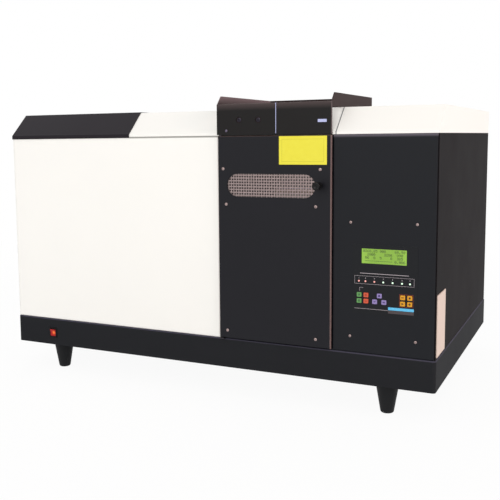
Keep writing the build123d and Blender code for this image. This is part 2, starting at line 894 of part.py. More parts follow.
def make_bay_walls():
    top = cover_top - sheet - seat
    shoulder_y = y_front + bevel_depth + 2 * sheet
    profile = [
        (bay_front, plinth_top),
        (bay_front, front_top),
        (shoulder_y, top),
        (bay_back, top),
        (bay_back, plinth_top),
    ]
    walls = yz_prism(profile, (bay_left - sheet, bay_left))
    walls += yz_prism(profile, (bay_right, bay_right + sheet))
    walls += block((bay_left, bay_right), (bay_back - sheet, bay_back), (plinth_top, top))
    ports = rod("x", (beam_y, beam_z), beam_port_radius, (bay_left - overrun, bay_right + overrun))
    return walls - ports


def make_drip_tray():
    x = (bay_left + seat, bay_right - seat)
    y = (bay_front, bay_back - sheet - seat)
    pan = block(x, y, (plinth_top, plinth_top + tray_depth))
    hollow = block(
        (x[0] + tray_wall, x[1] - tray_wall),
        (y[0] + tray_wall, y[1] - tray_wall),
        (plinth_top + tray_wall, plinth_top + tray_depth + overrun),
    )
    return pan - hollow


# Burner: a slot head turning on the spray chamber, which a carriage lifts on two rods
burner_drop = 13.0
burner_length = 112.0
burner_depth = 26.0
burner_head_height = 20.0
burner_slot_length = 100.0
burner_slot_width = 0.6
burner_slot_depth = 12.0
burner_edge = 3.0
stem_radius = 8.0
stem_length = 40.0
stem_bore_radius = 5.0
neck_radius = 13.0
neck_height = 60.0
chamber_radius = 24.0
chamber_length = 100.0
chamber_flange = 4.0
nebulizer_radius = 9.0
nebulizer_length = 26.0
capillary_radius = 1.5
capillary_length = 12.0
drain_radius = 5.0
drain_length = 16.0
rail_spread = 84.0
rail_radius = 5.0
rail_setback = 46.0
carriage_depth = 20.0
carriage_height = 40.0
stand_height = 12.0
stand_width = 120.0
stand_depth = 36.0
lift_travel = 10.0
burner_top = beam_z - burner_drop
neck_top = burner_top - burner_head_height - seat
chamber_z = neck_top - neck_height
rail_y = beam_y + rail_setback
carriage_z = around(chamber_z, carriage_height)
rail_top = carriage_z[1] + 2 * lift_travel
stand_z = (plinth_top + tray_wall, plinth_top + tray_wall + stand_height)


def rail_places():
    return [(bay_middle - rail_spread / 2, rail_y), (bay_middle + rail_spread / 2, rail_y)]


def make_burner_stand():
    stand = block(around(bay_middle, stand_width), around(rail_y, stand_depth), stand_z)
    for place in rail_places():
        stand += rod("z", place, rail_radius, (stand_z[0], rail_top))
    return stand


def make_nebulizer(end):
    """The nebulizer and its capillary, out of the chamber's front end."""
    body = rod("y", (bay_middle, chamber_z), nebulizer_radius, (end - nebulizer_length, end))
    body = chamfer(body.faces().sort_by(Axis.Y)[0].edges(), nebulizer_radius / 2)
    tip = end - nebulizer_length - capillary_length
    return body + rod("y", (bay_middle, chamber_z), capillary_radius, (tip, end))


def make_burner_carriage():
    arm_x = around(bay_middle, rail_spread + 4 * rail_radius)
    carriage = block(arm_x, around(rail_y, carriage_depth), carriage_z)
    chamber_y = (rail_y - carriage_depth / 2 - chamber_length, rail_y - carriage_depth / 2)
    carriage += rod("y", (bay_middle, chamber_z), chamber_radius, chamber_y)
    cap_y = (chamber_y[0], chamber_y[0] + 2 * chamber_flange)
    carriage += rod("y", (bay_middle, chamber_z), chamber_radius + chamber_flange, cap_y)
    carriage += rod("z", (bay_middle, beam_y), neck_radius, (chamber_z, neck_top))
    drain_z = (chamber_z - chamber_radius - drain_length, chamber_z)
    carriage += rod("z", (bay_middle, beam_y), drain_radius, drain_z)
    carriage += make_nebulizer(chamber_y[0])
    stem_hole_z = (neck_top - stem_length - seat, neck_top)
    carriage -= rod("z", (bay_middle, beam_y), stem_radius + running, stem_hole_z)
    for place in rail_places():
        carriage -= rod("z", place, rail_radius + running, (carriage_z[0] - overrun, carriage_z[1] + overrun))
    return carriage


def make_burner_head():
    head = block(
        around(bay_middle, burner_length),
        around(beam_y, burner_depth),
        (burner_top - burner_head_height, burner_top),
    )
    head = chamfer(head.faces().sort_by(Axis.Z)[-1].edges(), burner_edge)
    stem_z = (neck_top - stem_length, burner_top - burner_head_height)
    head += rod("z", (bay_middle, beam_y), stem_radius, stem_z)
    slot_z = (burner_top - burner_slot_depth, burner_top + overrun)
    head -= block(around(bay_middle, burner_slot_length), around(beam_y, burner_slot_width), slot_z)
    return head - rod("z", (bay_middle, beam_y), stem_bore_radius, (stem_z[0] - overrun, slot_z[0]))


# Lamp turret on the bench: hollow cathode lamps round a disc, one of them on the light path
turret_inset = 92.0
turret_radius = 68.0
turret_thickness = 8.0
turret_circle = 42.0
turret_shaft_radius = 8.0
turret_shaft_length = 46.0
turret_hub_radius = 21.0
turret_hub_proud = 3.0
lamp_count = 6
lamp_glass_radius = 17.0
lamp_glass_length = 118.0
lamp_dome = 8.0
lamp_base_radius = 15.0
lamp_base_length = 14.0
socket_wall = 3.0
bracket_gap = 4.0
bracket_thickness = 10.0
bracket_width = 70.0
motor_size = 42.0
motor_length = 36.0
bench_thickness = 8.0
bench_clearance = 6.0
bench_width = 150.0
bench_post_radius = 8.0
bench_post_inset = 16.0
bench_inset = 12.0
turret_x = x_left + turret_inset
turret_z = beam_z - turret_circle
bench_top = turret_z - turret_radius - bench_clearance
bench_x = (x_left + bench_inset, bay_left - bench_inset)
bench_y = around(beam_y, bench_width)
bracket_x = (turret_x - bracket_gap - bracket_thickness, turret_x - bracket_gap)


def make_optical_bench():
    bench = block(bench_x, bench_y, (bench_top - bench_thickness, bench_top))
    for x in (bench_x[0] + bench_post_inset, bench_x[1] - bench_post_inset):
        for y in (bench_y[0] + bench_post_inset, bench_y[1] - bench_post_inset):
            bench += rod("z", (x, y), bench_post_radius, (plinth_top, bench_top - bench_thickness))
    return bench + make_turret_bracket()


def make_turret_bracket():
    bracket = block(bracket_x, around(beam_y, bracket_width), (bench_top, turret_z + bracket_width / 2))
    motor_x = (bracket_x[0] - motor_length, bracket_x[0])
    bracket += block(motor_x, around(beam_y, motor_size), around(turret_z, motor_size))
    bore_x = (turret_x - turret_shaft_length - seat, bracket_x[1] + overrun)
    return bracket - rod("x", (beam_y, turret_z), turret_shaft_radius + running, bore_x)


def lamp_centres():
    """Where each lamp stands round the turret: (y, z), the first one on the light path."""
    turns = [i * 2 * math.pi / lamp_count for i in range(lamp_count)]
    return [(beam_y + turret_circle * math.sin(a), turret_z + turret_circle * math.cos(a)) for a in turns]


def make_lamp_turret():
    turret = rod("x", (beam_y, turret_z), turret_radius, (turret_x, turret_x + turret_thickness))
    turret += rod("x", (beam_y, turret_z), turret_shaft_radius, (turret_x - turret_shaft_length, turret_x))
    socket_x = (turret_x + turret_thickness, turret_x + turret_thickness + lamp_base_length)
    turret += rod("x", (beam_y, turret_z), turret_hub_radius, (socket_x[0], socket_x[1] + turret_hub_proud))
    for centre in lamp_centres():
        turret += rod("x", centre, lamp_base_radius + socket_wall, socket_x)
        turret -= rod("x", centre, lamp_base_radius + seat, (socket_x[0], socket_x[1] + overrun))
    return turret


def make_cathode_lamps():
    base_x = (turret_x + turret_thickness, turret_x + turret_thickness + lamp_base_length)
    glass_x = (base_x[1], base_x[1] + lamp_glass_length)
    lamps = []
    for centre in lamp_centres():
        glass = rod("x", centre, lamp_glass_radius, glass_x)
        glass = fillet(glass.faces().sort_by(Axis.X)[-1].edges(), lamp_dome)
        lamps.append(glass + rod("x", centre, lamp_base_radius, base_x))
    return Compound(children=lamps)


# Lenses in ring mounts, one each side of the burner bay
lens_radius = 18.0
lens_edge = 3.0
lens_bulge = 2.5
mount_wall = 5.0
mount_length = 12.0
mount_post_radius = 7.0
mount_setback = 34.0
lens_places_x = [bay_left - mount_setback, bay_right + mount_setback]


def make_lens_mounts():
    mounts = []
    for x, floor in zip(lens_places_x, (bench_top, plinth_top)):
        post = rod("z", (x, beam_y), mount_post_radius, (floor, beam_z - lens_radius))
        ring = rod("x", (beam_y, beam_z), lens_radius + mount_wall, around(x, mount_length))
        hole = rod("x", (beam_y, beam_z), lens_radius, around(x, mount_length + overrun))
        mounts.append(post + ring - hole)
    return Compound(children=mounts)


def make_lenses():
    curve = (lens_radius**2 + lens_bulge**2) / (2 * lens_bulge)
    reach = curve - lens_bulge - lens_edge / 2
    lens = rod("x", (0, 0), lens_radius - running, around(0, 2 * (lens_bulge + lens_edge)))
    lens &= Pos(-reach, 0, 0) * Sphere(curve)
    lens &= Pos(reach, 0, 0) * Sphere(curve)
    return Compound(children=[Pos(x, beam_y, beam_z) * lens for x in lens_places_x])


# Monochromator: a lidded case on legs behind the right panel, its grating on a turning table
mono_setback = 62.0
mono_margin = 12.0
mono_front = 55.0
mono_rear_room = 112.0
mono_half_height = 45.0
mono_wall = 4.0
mono_lid_thickness = 3.0
mono_leg_radius = 9.0
mono_leg_inset = 16.0
slit_tube_radius = 14.0
slit_tube_bore = 9.0
slit_tube_length = 16.0
grating_share = 0.8
grating_table_radius = 24.0
grating_table_height = 8.0
grating_pin_radius = 4.0
grating_width = 36.0
grating_height = 36.0
grating_thickness = 8.0
mono_x = (bay_right + mono_setback, side_inner - mono_margin)
mono_y = (beam_y - mono_front, y_back - mono_rear_room)
mono_z = around(beam_z, 2 * mono_half_height)
grating_x = along(mono_x, 1 / 2)
grating_y = along(mono_y, grating_share)
grating_floor = mono_z[0] + mono_wall


def make_monochromator_case():
    case = block(mono_x, mono_y, mono_z)
    inside = block(
        (mono_x[0] + mono_wall, mono_x[1] - mono_wall),
        (mono_y[0] + mono_wall, mono_y[1] - mono_wall),
        (grating_floor, mono_z[1] + overrun),
    )
    case -= inside
    for x in (mono_x[0] + mono_leg_inset, mono_x[1] - mono_leg_inset):
        for y in (mono_y[0] + mono_leg_inset, mono_y[1] - mono_leg_inset):
            case += rod("z", (x, y), mono_leg_radius, (plinth_top, mono_z[0]))
    case += rod("x", (beam_y, beam_z), slit_tube_radius, (mono_x[0] - slit_tube_length, mono_x[0]))
    slit_x = (mono_x[0] - slit_tube_length - overrun, mono_x[0] + mono_wall)
    case -= rod("x", (beam_y, beam_z), slit_tube_bore, slit_x)
    pin_hole_z = around(grating_floor, overrun)
    return case - rod("z", (grating_x, grating_y), grating_pin_radius + running, pin_hole_z)


def make_monochromator_lid():
    return block(mono_x, mono_y, (mono_z[1], mono_z[1] + mono_lid_thickness))


def make_grating_table():
    top = grating_floor + seat + grating_table_height
    table = rod("z", (0, 0), grating_table_radius, (grating_floor + seat, top))
    table += rod("z", (0, 0), grating_pin_radius, (mono_z[0], top))
    table += block(around(0, grating_width), (-grating_thickness, 0), (top, top + grating_height))
    return Pos(grating_x, grating_y, 0) * table


# Detector tube on the back of the monochromator
detector_radius = 24.0
detector_length = 62.0
detector_base_radius = 30.0
detector_base_length = 8.0


def make_detector():
    centre = (along(mono_x, 1 / 2), beam_z)
    base = rod("y", centre, detector_base_radius, (mono_y[1], mono_y[1] + detector_base_length))
    tube = rod("y", centre, detector_radius, (mono_y[1], mono_y[1] + detector_length))
    tube = fillet(tube.faces().sort_by(Axis.Y)[-1].edges(), detector_base_length / 2)
    return base + tube


# Gas block: three valves on a manifold, under the monochromator
gas_block_width = 110.0
gas_block_depth = 50.0
gas_block_height = 40.0
gas_setback = 120.0
valve_radius = 13.0
valve_height = 34.0
valve_cap_radius = 10.0
valve_cap_height = 12.0
valve_count = 3


def make_gas_block():
    y = (bay_back - gas_setback, bay_back - gas_setback + gas_block_depth)
    x = around(along(mono_x, 1 / 2), gas_block_width)
    top = plinth_top + gas_block_height
    body = block(x, y, (plinth_top, top))
    for i in range(valve_count):
        centre = (along(x, (i + 0.5) / valve_count), along(y, 1 / 2))
        body += rod("z", centre, valve_radius, (top, top + valve_height))
        cap_z = (top + valve_height, top + valve_height + valve_cap_height)
        body += rod("z", centre, valve_cap_radius, cap_z)
    return body


# Supply: a laminated transformer behind the lamps
core_width = 96.0
core_depth = 50.0
core_height = 80.0
core_leg = 16.0
coil_depth = 84.0
transformer_inset = 130.0
transformer_setback = 120.0
transformer_foot = 6.0


def make_transformer():
    x = x_left + transformer_inset
    y = y_back - transformer_setback
    floor = plinth_top + transformer_foot
    core = block(around(x, core_width), around(y, core_depth), (floor, floor + core_height))
    coil_width = core_width - 2 * core_leg
    coil = block(
        around(x, coil_width),
        around(y, coil_depth),
        (floor + core_leg, floor + core_height - core_leg),
    )
    coil = fillet(coil.edges().filter_by(Axis.Z), core_leg / 2)
    feet = block(around(x, core_width + 2 * core_leg), around(y, core_depth), (plinth_top, floor))
    return core + coil + feet


# Every piece by name
pieces = {
    "plinth": make_plinth(),
    "base_plate": make_base_plate(),
    "feet": make_feet(),
    "left_front_panel": make_left_front_panel(),
    "left_side_panel": make_side_panel(-1),
    "right_side_panel": make_side_panel(1),
    "side_plate": make_side_plate(),
    "rear_panel": make_rear_panel(),
    "left_top_cover": make_left_top_cover(),
    "right_top_cover": make_right_top_cover(),
    "lamp_lid": make_lamp_lid(),
    "burner_door": make_burner_door(),
    "door_mesh": make_door_mesh(),
    "door_knob": make_door_knob(),
    "door_screws": make_door_screws(),
    "door_plate": make_door_plate(),
    "hood_shell": make_hood_shell(),
    "hood_apron_left": make_hood_apron_left(),
    "hood_apron_right": make_hood_apron_right(),
    "hood_trim": make_hood_trim(),
    "hinge_pins": make_hinge_pins(),
    "cabinet_screws": make_cabinet_screws(),
    "right_front_panel": make_right_front_panel(),
    "control_overlay": make_control_overlay(),
    "display_window": make_display_window(),
    "display_board": make_display_board(),
    "status_lamps": make_status_lamps(),
    "switch_bezel": make_switch_bezel(),
    "power_rocker": make_power_rocker(),
    "fan_frame": make_fan_frame(),
    "fan_rotor": make_fan_rotor(),
    "mains_inlet": make_mains_inlet(),
    "gas_fittings": make_gas_fittings(),
    "bay_walls": make_bay_walls(),
    "drip_tray": make_drip_tray(),
    "burner_stand": make_burner_stand(),
    "burner_carriage": make_burner_carriage(),
    "burner_head": make_burner_head(),
    "optical_bench": make_optical_bench(),
    "lamp_turret": make_lamp_turret(),
    "cathode_lamps": make_cathode_lamps(),
    "lens_mounts": make_lens_mounts(),
    "lenses": make_lenses(),
    "monochromator_case": make_monochromator_case(),
    "monochromator_lid": make_monochromator_lid(),
    "grating_table": make_grating_table(),
    "detector": make_detector(),
    "gas_block": make_gas_block(),
    "transformer": make_transformer(),
}
for key_name in key_place_shares:
    pieces[key_name] = make_key(key_name)

for node, shape in pieces.items():
    export_step(shape, f"parts/{node}.step")
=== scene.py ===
import math
import random

import bmesh
import bpy
from mathutils import Matrix, Vector


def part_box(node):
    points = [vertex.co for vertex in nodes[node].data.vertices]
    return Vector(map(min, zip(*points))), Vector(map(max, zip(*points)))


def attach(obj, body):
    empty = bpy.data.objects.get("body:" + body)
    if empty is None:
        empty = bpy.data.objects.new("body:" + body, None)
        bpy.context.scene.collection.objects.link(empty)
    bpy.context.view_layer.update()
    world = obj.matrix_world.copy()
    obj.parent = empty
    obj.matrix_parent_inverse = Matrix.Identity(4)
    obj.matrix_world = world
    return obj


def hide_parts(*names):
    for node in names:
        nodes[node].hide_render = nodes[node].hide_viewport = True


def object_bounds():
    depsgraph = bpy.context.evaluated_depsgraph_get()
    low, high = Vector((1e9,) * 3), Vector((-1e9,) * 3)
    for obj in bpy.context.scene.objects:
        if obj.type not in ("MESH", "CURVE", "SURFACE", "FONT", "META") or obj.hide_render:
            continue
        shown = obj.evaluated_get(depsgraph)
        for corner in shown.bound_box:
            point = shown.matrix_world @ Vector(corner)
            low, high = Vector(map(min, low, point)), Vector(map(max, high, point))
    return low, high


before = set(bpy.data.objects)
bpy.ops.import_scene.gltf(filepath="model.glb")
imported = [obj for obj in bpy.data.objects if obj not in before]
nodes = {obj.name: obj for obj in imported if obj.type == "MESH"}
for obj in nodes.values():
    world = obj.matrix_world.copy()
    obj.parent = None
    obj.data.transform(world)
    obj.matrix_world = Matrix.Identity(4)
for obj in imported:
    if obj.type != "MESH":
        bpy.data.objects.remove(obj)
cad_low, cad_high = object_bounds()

MM = 0.001
stage = bpy.context.scene
to_right, to_back, upward = Matrix.Identity(3)
to_front = Vector((0, -1, 0))

# Camera: stands to the right of the front, level with the tops of its panels, and looks slightly down.
# It was fitted to the cabinet's straight edges; the picture's middle is below and right of its axis.
camera_lens = 56.79
camera_sensor = 36.0
camera_shift = (0.07, -0.0425)
camera_yaw = math.radians(26.528)
camera_pitch = math.radians(-6.546)
camera_roll = math.radians(-0.682)
camera_right_of_middle = 683.5 * MM
camera_before_front = 1302.3 * MM
camera_height = 483.5 * MM
camera_reach = 100.0

front_low, front_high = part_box("left_front_panel")
front_y = front_low.y
eye = Vector((camera_right_of_middle, front_y - camera_before_front, camera_height))
turn = Matrix.Rotation(camera_yaw, 4, "Z") @ Matrix.Rotation(math.pi / 2 + camera_pitch, 4, "X")
turn @= Matrix.Rotation(camera_roll, 4, "Z")
camera_data = bpy.data.cameras.new("camera")
camera_data.lens = camera_lens
camera_data.sensor_width = camera_sensor
camera_data.shift_x, camera_data.shift_y = camera_shift
camera_data.clip_end = camera_reach
camera = bpy.data.objects.new("camera", camera_data)
camera.matrix_world = Matrix.Translation(eye) @ turn
stage.collection.objects.link(camera)
stage.camera = camera
stage.view_settings.view_transform = "Standard"


# Studio: a white floor and room, with a large soft lamp in front and weaker ones right and behind.
# Both are white to the eye, the floor with a faint shadow; the room's light on the paint is lower.
floor_half = 8.0
room_strength = 0.7
white_strength = 1.0
shadow_reach = (0.9, 2.25)
near_white_share = 0.94


def linear(code):
    """An sRGB hex colour such as "2a2c2f" as linear red, green, blue and alpha."""
    parts = [int(code[i : i + 2], 16) / 255 for i in (0, 2, 4)]
    return [c / 12.92 if c <= 0.04045 else ((c + 0.055) / 1.055) ** 2.4 for c in parts] + [1.0]


def blank(owner):
    """A material or a world with its shader nodes turned on and cleared."""
    owner.use_nodes = True
    owner.node_tree.nodes.clear()
    return owner


def add(owner, kind, settings=None, links=None):
    """A new shader node with its settings, and with other sockets linked into its inputs."""
    made = owner.node_tree.nodes.new("ShaderNode" + kind)
    for key, value in (settings or {}).items():
        if isinstance(key, int) or key in made.inputs:
            made.inputs[key].default_value = value
        else:
            setattr(made, key, value)
    for key, source in (links or {}).items():
        owner.node_tree.links.new(source, made.inputs[key])
    return made


def joined(owner, operation, *masks):
    """Several masks in one: 1 where all are for MULTIPLY, or where any is for MAXIMUM."""
    whole = masks[0]
    for mask in masks[1:]:
        whole = add(owner, "Math", {"operation": operation}, {0: whole, 1: mask}).outputs[0]
    return whole


def spread(owner, source, start, end, low=0.0, high=1.0):
    """A number that goes from low to high as its source goes from start to end."""
    settings = {"From Min": start, "From Max": end, "To Min": low, "To Max": high}
    return add(owner, "MapRange", settings, {"Value": source}).outputs[0]


def place(owner):
    """Where a point of the surface lies."""
    return add(owner, "TexCoord").outputs["Object"]


def seen_directly(owner):
    """1 where the surface is seen, also by a gloss or a clear piece, 0 where it only gives light."""
    path = add(owner, "LightPath").outputs
    kinds = ("Is Camera Ray", "Is Glossy Ray", "Is Transmission Ray")
    return joined(owner, "MAXIMUM", *(path[kind] for kind in kinds))


def two_ways(owner, share, given, shown, end):
    """Mixes the shader that gives light and the one that is shown, and ends in an output."""
    mix = add(owner, "MixShader", {}, {0: share, 1: given.outputs[0], 2: shown.outputs[0]})
    add(owner, end, {}, {"Surface": mix.outputs[0]})


room = blank(bpy.data.worlds.new("room"))
stage.world = room
room_light = add(room, "Background", {"Color": linear("ffffff"), "Strength": room_strength})
room_white = add(room, "Background", {"Color": linear("ffffff"), "Strength": white_strength})
two_ways(room, seen_directly(room), room_light, room_white, "OutputWorld")

floor_material = blank(bpy.data.materials.new("white_studio_floor"))
floor_paint = add(floor_material, "BsdfDiffuse", {"Color": linear("f4f4f4")})
floor_glow = add(floor_material, "Emission", {"Color": linear("ffffff"), "Strength": white_strength})
floor_away = add(floor_material, "VectorMath", {"operation": "LENGTH"}, {0: place(floor_material)})
floor_white = spread(floor_material, floor_away.outputs["Value"], *shadow_reach, near_white_share)
floor_seen = joined(floor_material, "MULTIPLY", seen_directly(floor_material), floor_white)
two_ways(floor_material, floor_seen, floor_paint, floor_glow, "OutputMaterial")
floor_mesh = bpy.data.meshes.new("floor")
floor_corners = [(x * floor_half, y * floor_half, 0) for x, y in ((-1, -1), (1, -1), (1, 1), (-1, 1))]
floor_mesh.from_pydata(floor_corners, [], [(0, 1, 2, 3)])
floor_mesh.materials.append(floor_material)
floor = bpy.data.objects.new("floor", floor_mesh)
stage.collection.objects.link(floor)

lamp_target = Vector((0, 0, 0.3))
for name, stand, size, power, colour in (
    ("key_lamp", (0.35, -3.6, 2.1), 2.6, 43.0, "fffcf8"),
    ("right_lamp", (3.4, -0.6, 1.5), 1.8, 36.0, "ffe6dc"),
    ("rear_lamp", (-1.0, 3.2, 2.8), 2.4, 30.0, "ffffff"),
):
    softbox = bpy.data.lights.new(name, "AREA")
    softbox.size = size
    softbox.energy = power
    softbox.color = linear(colour)[:3]
    lamp = bpy.data.objects.new(name, softbox)
    aim = (lamp_target - Vector(stand)).to_track_quat("-Z", "Y")
    lamp.matrix_world = Matrix.Translation(stand) @ aim.to_matrix().to_4x4()
    stage.collection.objects.link(lamp)


# Plinth and base plate: a shallow tray of 2 mm mild steel with a flat plate screwed in under it.
# Both are powder coated black; a pale violet line painted along the upper bend is a painted highlight.
black_coat = "101113"
black_grit = 1.4 * MM
plinth_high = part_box("plinth")[1]
plinth_bend = 2.4 * MM
dust_clouds = 1 / 7
mask_blur = 0.1 * MM
any_height = (0.0, 1.0)


def start_material(name, colour, roughness, metallic=0.0, ior=1.5, gloss=0.5, more=None):
    """A material of one Principled surface in an even colour."""
    material = blank(bpy.data.materials.new(name))
    settings = {"Base Color": linear(colour), "Roughness": roughness, "Metallic": metallic, "IOR": ior}
    surface = add(material, "BsdfPrincipled", settings | {"Specular IOR Level": gloss} | (more or {}))
    add(material, "OutputMaterial", {}, {"Surface": surface.outputs[0]})
    return material


def inputs(material):
    """The inputs of a material's surface."""
    shaders = material.node_tree.nodes
    return next(shader for shader in shaders if shader.type == "BSDF_PRINCIPLED").inputs


def drive(material, socket, source):
    """Links a source into an input of a material's surface."""
    material.node_tree.links.new(source, inputs(material)[socket])


def noise(material, size, detail, roughness=0.5, stretch=None):
    """A soft random pattern from 0 to 1 with bumps of a size in metres, longer where stretch is small."""
    where = place(material)
    if stretch:
        where = add(material, "Mapping", {"Scale": stretch}, {"Vector": where}).outputs[0]
    settings = {"Scale": 1 / size, "Detail": detail, "Roughness": roughness}
    return add(material, "TexNoise", settings, {"Vector": where}).outputs[0]


def vary(material, socket, source, low, high):
    """Drives a number of the surface between two values by a pattern."""
    drive(material, socket, spread(material, source, 0.0, 1.0, low, high))


def tint(material, source, dark, light, socket="Base Color", between=None):
    """Drives a colour between two hex colours by a pattern, with a third one on the way."""
    ramp = add(material, "ValToRGB", {}, {"Fac": source})
    ramp.color_ramp.elements[0].color = linear(dark)
    ramp.color_ramp.elements[1].color = linear(light)
    if between:
        share, colour = between
        ramp.color_ramp.elements.new(share).color = linear(colour)
    drive(material, socket, ramp.outputs[0])


def relief(material, source, depth, strength):
    """Raises the surface by a pattern, up to a depth in metres."""
    bump = add(material, "Bump", {"Strength": strength, "Distance": depth}, {"Height": source})
    drive(material, "Normal", bump.outputs[0])


def along(material, axis):
    """How far a point of the surface lies along an axis."""
    return add(material, "SeparateXYZ", {}, {"Vector": place(material)}).outputs[axis]


def band(material, axis, start, end):
    """A mask that rises from 0 at one level along an axis to 1 at another."""
    return spread(material, along(material, axis), start, end)


def box_mask(material, x, y, z=any_height):
    """A mask that is 1 inside a box, for paint with straight edges."""
    sides = []
    for axis, (low, high) in zip("XYZ", (x, y, z)):
        sides.append(band(material, axis, low, low + mask_blur))
        sides.append(band(material, axis, high, high - mask_blur))
    return joined(material, "MULTIPLY", *sides)


def lay_over(material, colour, *masks):
    """Lays another hex colour over a material wherever one of the masks is 1."""
    under = inputs(material)["Base Color"].links[0].from_socket
    mask = joined(material, "MAXIMUM", *masks)
    mix = add(material, "MixRGB", {"Color2": linear(colour)}, {"Fac": mask, "Color1": under})
    drive(material, "Base Color", mix.outputs[0])


def powder_coat(name, colour, dusty, roughness, gloss, grit=black_grit):
    """Baked powder paint: an even colour, orange peel of the grit's size, and faint clouds of dust."""
    material = start_material(name, colour, roughness, gloss=gloss)
    cloud = noise(material, dust_clouds, 5.0, 0.6)
    relief(material, noise(material, grit, 2.0, 0.4), grit / 14, 0.3)
    vary(material, "Roughness", cloud, roughness - 0.07, roughness + 0.1)
    tint(material, cloud, colour, dusty)
    return material


def coat(material, *names):
    """Gives frame nodes a material."""
    for name in names:
        data = nodes[name].data
        data.materials.clear()
        data.materials.append(material)


plinth_steel = powder_coat("black_powder_coat_on_the_plinth", "242528", "28292c", 0.6, 0.03)
plinth_highlight_level = plinth_high.z - plinth_bend
# Painted highlight: a pale violet band along the plinth's upper bend.
lay_over(plinth_steel, "474552", band(plinth_steel, "Z", plinth_highlight_level, plinth_highlight_level + plinth_bend / 2))
coat(plinth_steel, "plinth", "base_plate")


# Feet: four tapers moulded in black polypropylene, screwed up into the base plate.
# The mould's spark-eroded face leaves them duller than the painted steel.
flow_size = 1 / 30


def moulded_plastic(name, colour, paler, roughness, grain, ior=1.49, gloss=0.5):
    """A moulded plastic with a fine grain, and slow changes of gloss where it flowed."""
    material = start_material(name, colour, roughness, ior=ior, gloss=gloss)
    flow = noise(material, flow_size, 2.0)
    relief(material, noise(material, grain, 3.0), grain / 10, 0.4)
    vary(material, "Roughness", flow, roughness - 0.06, roughness + 0.08)
    tint(material, flow, colour, paler)
    return material


coat(moulded_plastic("black_polypropylene", "131416", "191a1d", 0.6, 0.8 * MM, gloss=0.2), "feet")


# Left front, left side and top covers: folded mild steel, powder coated a warm white.
# A grey line along the front's top seam right of the lid is a painted shadow, and so is the grey line along
# the joint of the covers.
# The left cover is sprayed black under the hood, but for the part of its bevel that shows in front; the
# black on its front lip, behind the gap above the door, is painted shade.
white_grit = 1.6 * MM
hood_low, hood_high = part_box("hood_shell")
lid_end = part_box("lamp_lid")[1].x
covers_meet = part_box("right_top_cover")[0].x
seam_fade = 3.4 * MM
seam_edge = 1.5 * MM
sheet_edge = 1.0 * MM
bevel_end = front_y + 47.0 * MM
lip_end = front_y + 8.0 * MM
lip_top = front_high.z + 2.5 * MM
sight_slope = 0.38


def warm_white(name, colour="fbfaf6"):
    """The white coat, which shows its orange peel only in the gloss along the folds."""
    return powder_coat("warm_white_powder_coat" + name, colour, "f8f7f3", 0.4, 0.5, white_grit)


coat(warm_white(""), "left_side_panel")
front_steel = warm_white("_with_painted_shadow_at_the_seam")
seam_shadow_band = band(front_steel, "Z", front_high.z - seam_fade, front_high.z - 0.8 * seam_fade)
past_lid = band(front_steel, "X", lid_end, lid_end + 0.5 * MM)
# Painted shadow: a grey band under the top seam, right of the lid.
lay_over(front_steel, "a8a7a2", joined(front_steel, "MULTIPLY", seam_shadow_band, past_lid))
coat(front_steel, "left_front_panel")

cover_steel = warm_white("_masked_under_the_hood")
hood_x = (hood_low.x + sheet_edge, hood_high.x - sheet_edge)
flat_top = box_mask(cover_steel, hood_x, (bevel_end, hood_high.y - sheet_edge))
lip = box_mask(cover_steel, hood_x, (front_y - sheet_edge, lip_end), (0.0, lip_top))
bevel = box_mask(cover_steel, hood_x, (front_y, bevel_end))
leaning = {0: along(cover_steel, "Y"), 2: along(cover_steel, "X")}
leant = add(cover_steel, "Math", {"operation": "MULTIPLY_ADD", 1: sight_slope}, leaning).outputs[0]
sight_edge = hood_x[1] + sight_slope * front_y
unseen = spread(cover_steel, leant, sight_edge, sight_edge - mask_blur)
# The black on the lip is painted shade for the gap between the hood and the door.
lay_over(cover_steel, black_coat, flat_top, lip, joined(cover_steel, "MULTIPLY", bevel, unseen))
coat(cover_steel, "left_top_cover")

# Painted shade: this cover's white is a shade darker than the left's, and the grey line along its joint is
# a painted shadow.
right_steel = warm_white("_right_of_the_seam", "f6f5f0")
seam_end = covers_meet + seam_edge
lay_over(right_steel, "85898b", band(right_steel, "X", seam_end, seam_end - 0.1 * seam_edge))
coat(right_steel, "right_top_cover")


# Right side panel and rear panel: the same black coated sheet, folded round the frame.
# The large side is a little browner than the front; the rear was never wiped and is greyer.
coat(powder_coat("black_powder_coat_on_the_side", "151113", "1a1618", 0.6, 0.03), "right_side_panel")
coat(powder_coat("black_powder_coat_on_the_rear", "1d1c1e", "2a292a", 0.55, 0.2), "rear_panel")


# Plate low on the right side: thin aluminium enamelled a pale pink beige, glued on and left bare.
# The glue under it makes it faintly wavy.
plate_wave = 9.0 * MM


def fine_finish(name, colour, paler, roughness, size, depth, strength, detail=2.0, sheen=0.0, **surface):
    """A smooth finish with one faint pattern in its tone, its relief and, by its sheen, its gloss."""
    material = start_material(name, colour, roughness, **surface)
    pattern = noise(material, size, detail)
    relief(material, pattern, depth, strength)
    tint(material, pattern, colour, paler)
    if sheen:
        vary(material, "Roughness", pattern, roughness - sheen, roughness + sheen)
    return material


def enamel(name, colour, paler, roughness):
    """Enamel stoved on thin aluminium: smooth and even, with a slow waviness."""
    waviness = {"detail": 1.0, "sheen": 0.05, "ior": 1.52}
    return fine_finish(name, colour, paler, roughness, plate_wave, plate_wave / 60, 0.25, **waviness)


coat(enamel("pale_beige_enamel", "d7beb0", "ddc8ba", 0.45), "side_plate")


# Lamp lid: a black coated sheet with its edges turned down, on a long hinge rod behind.
# Its top is handled often, so its coat is smoother than the cabinet's.
coat(powder_coat("black_powder_coat_on_the_lid", "161118", "1c161e", 0.46, 0.2), "lamp_lid")


# Hinge rod and pins: ground steel bar, chemically blued, pressed into the cabinet's lugs.
# Grinding leaves fine rings round the bar, which stretch its dark highlight along it.
wear_size = 1 / 25


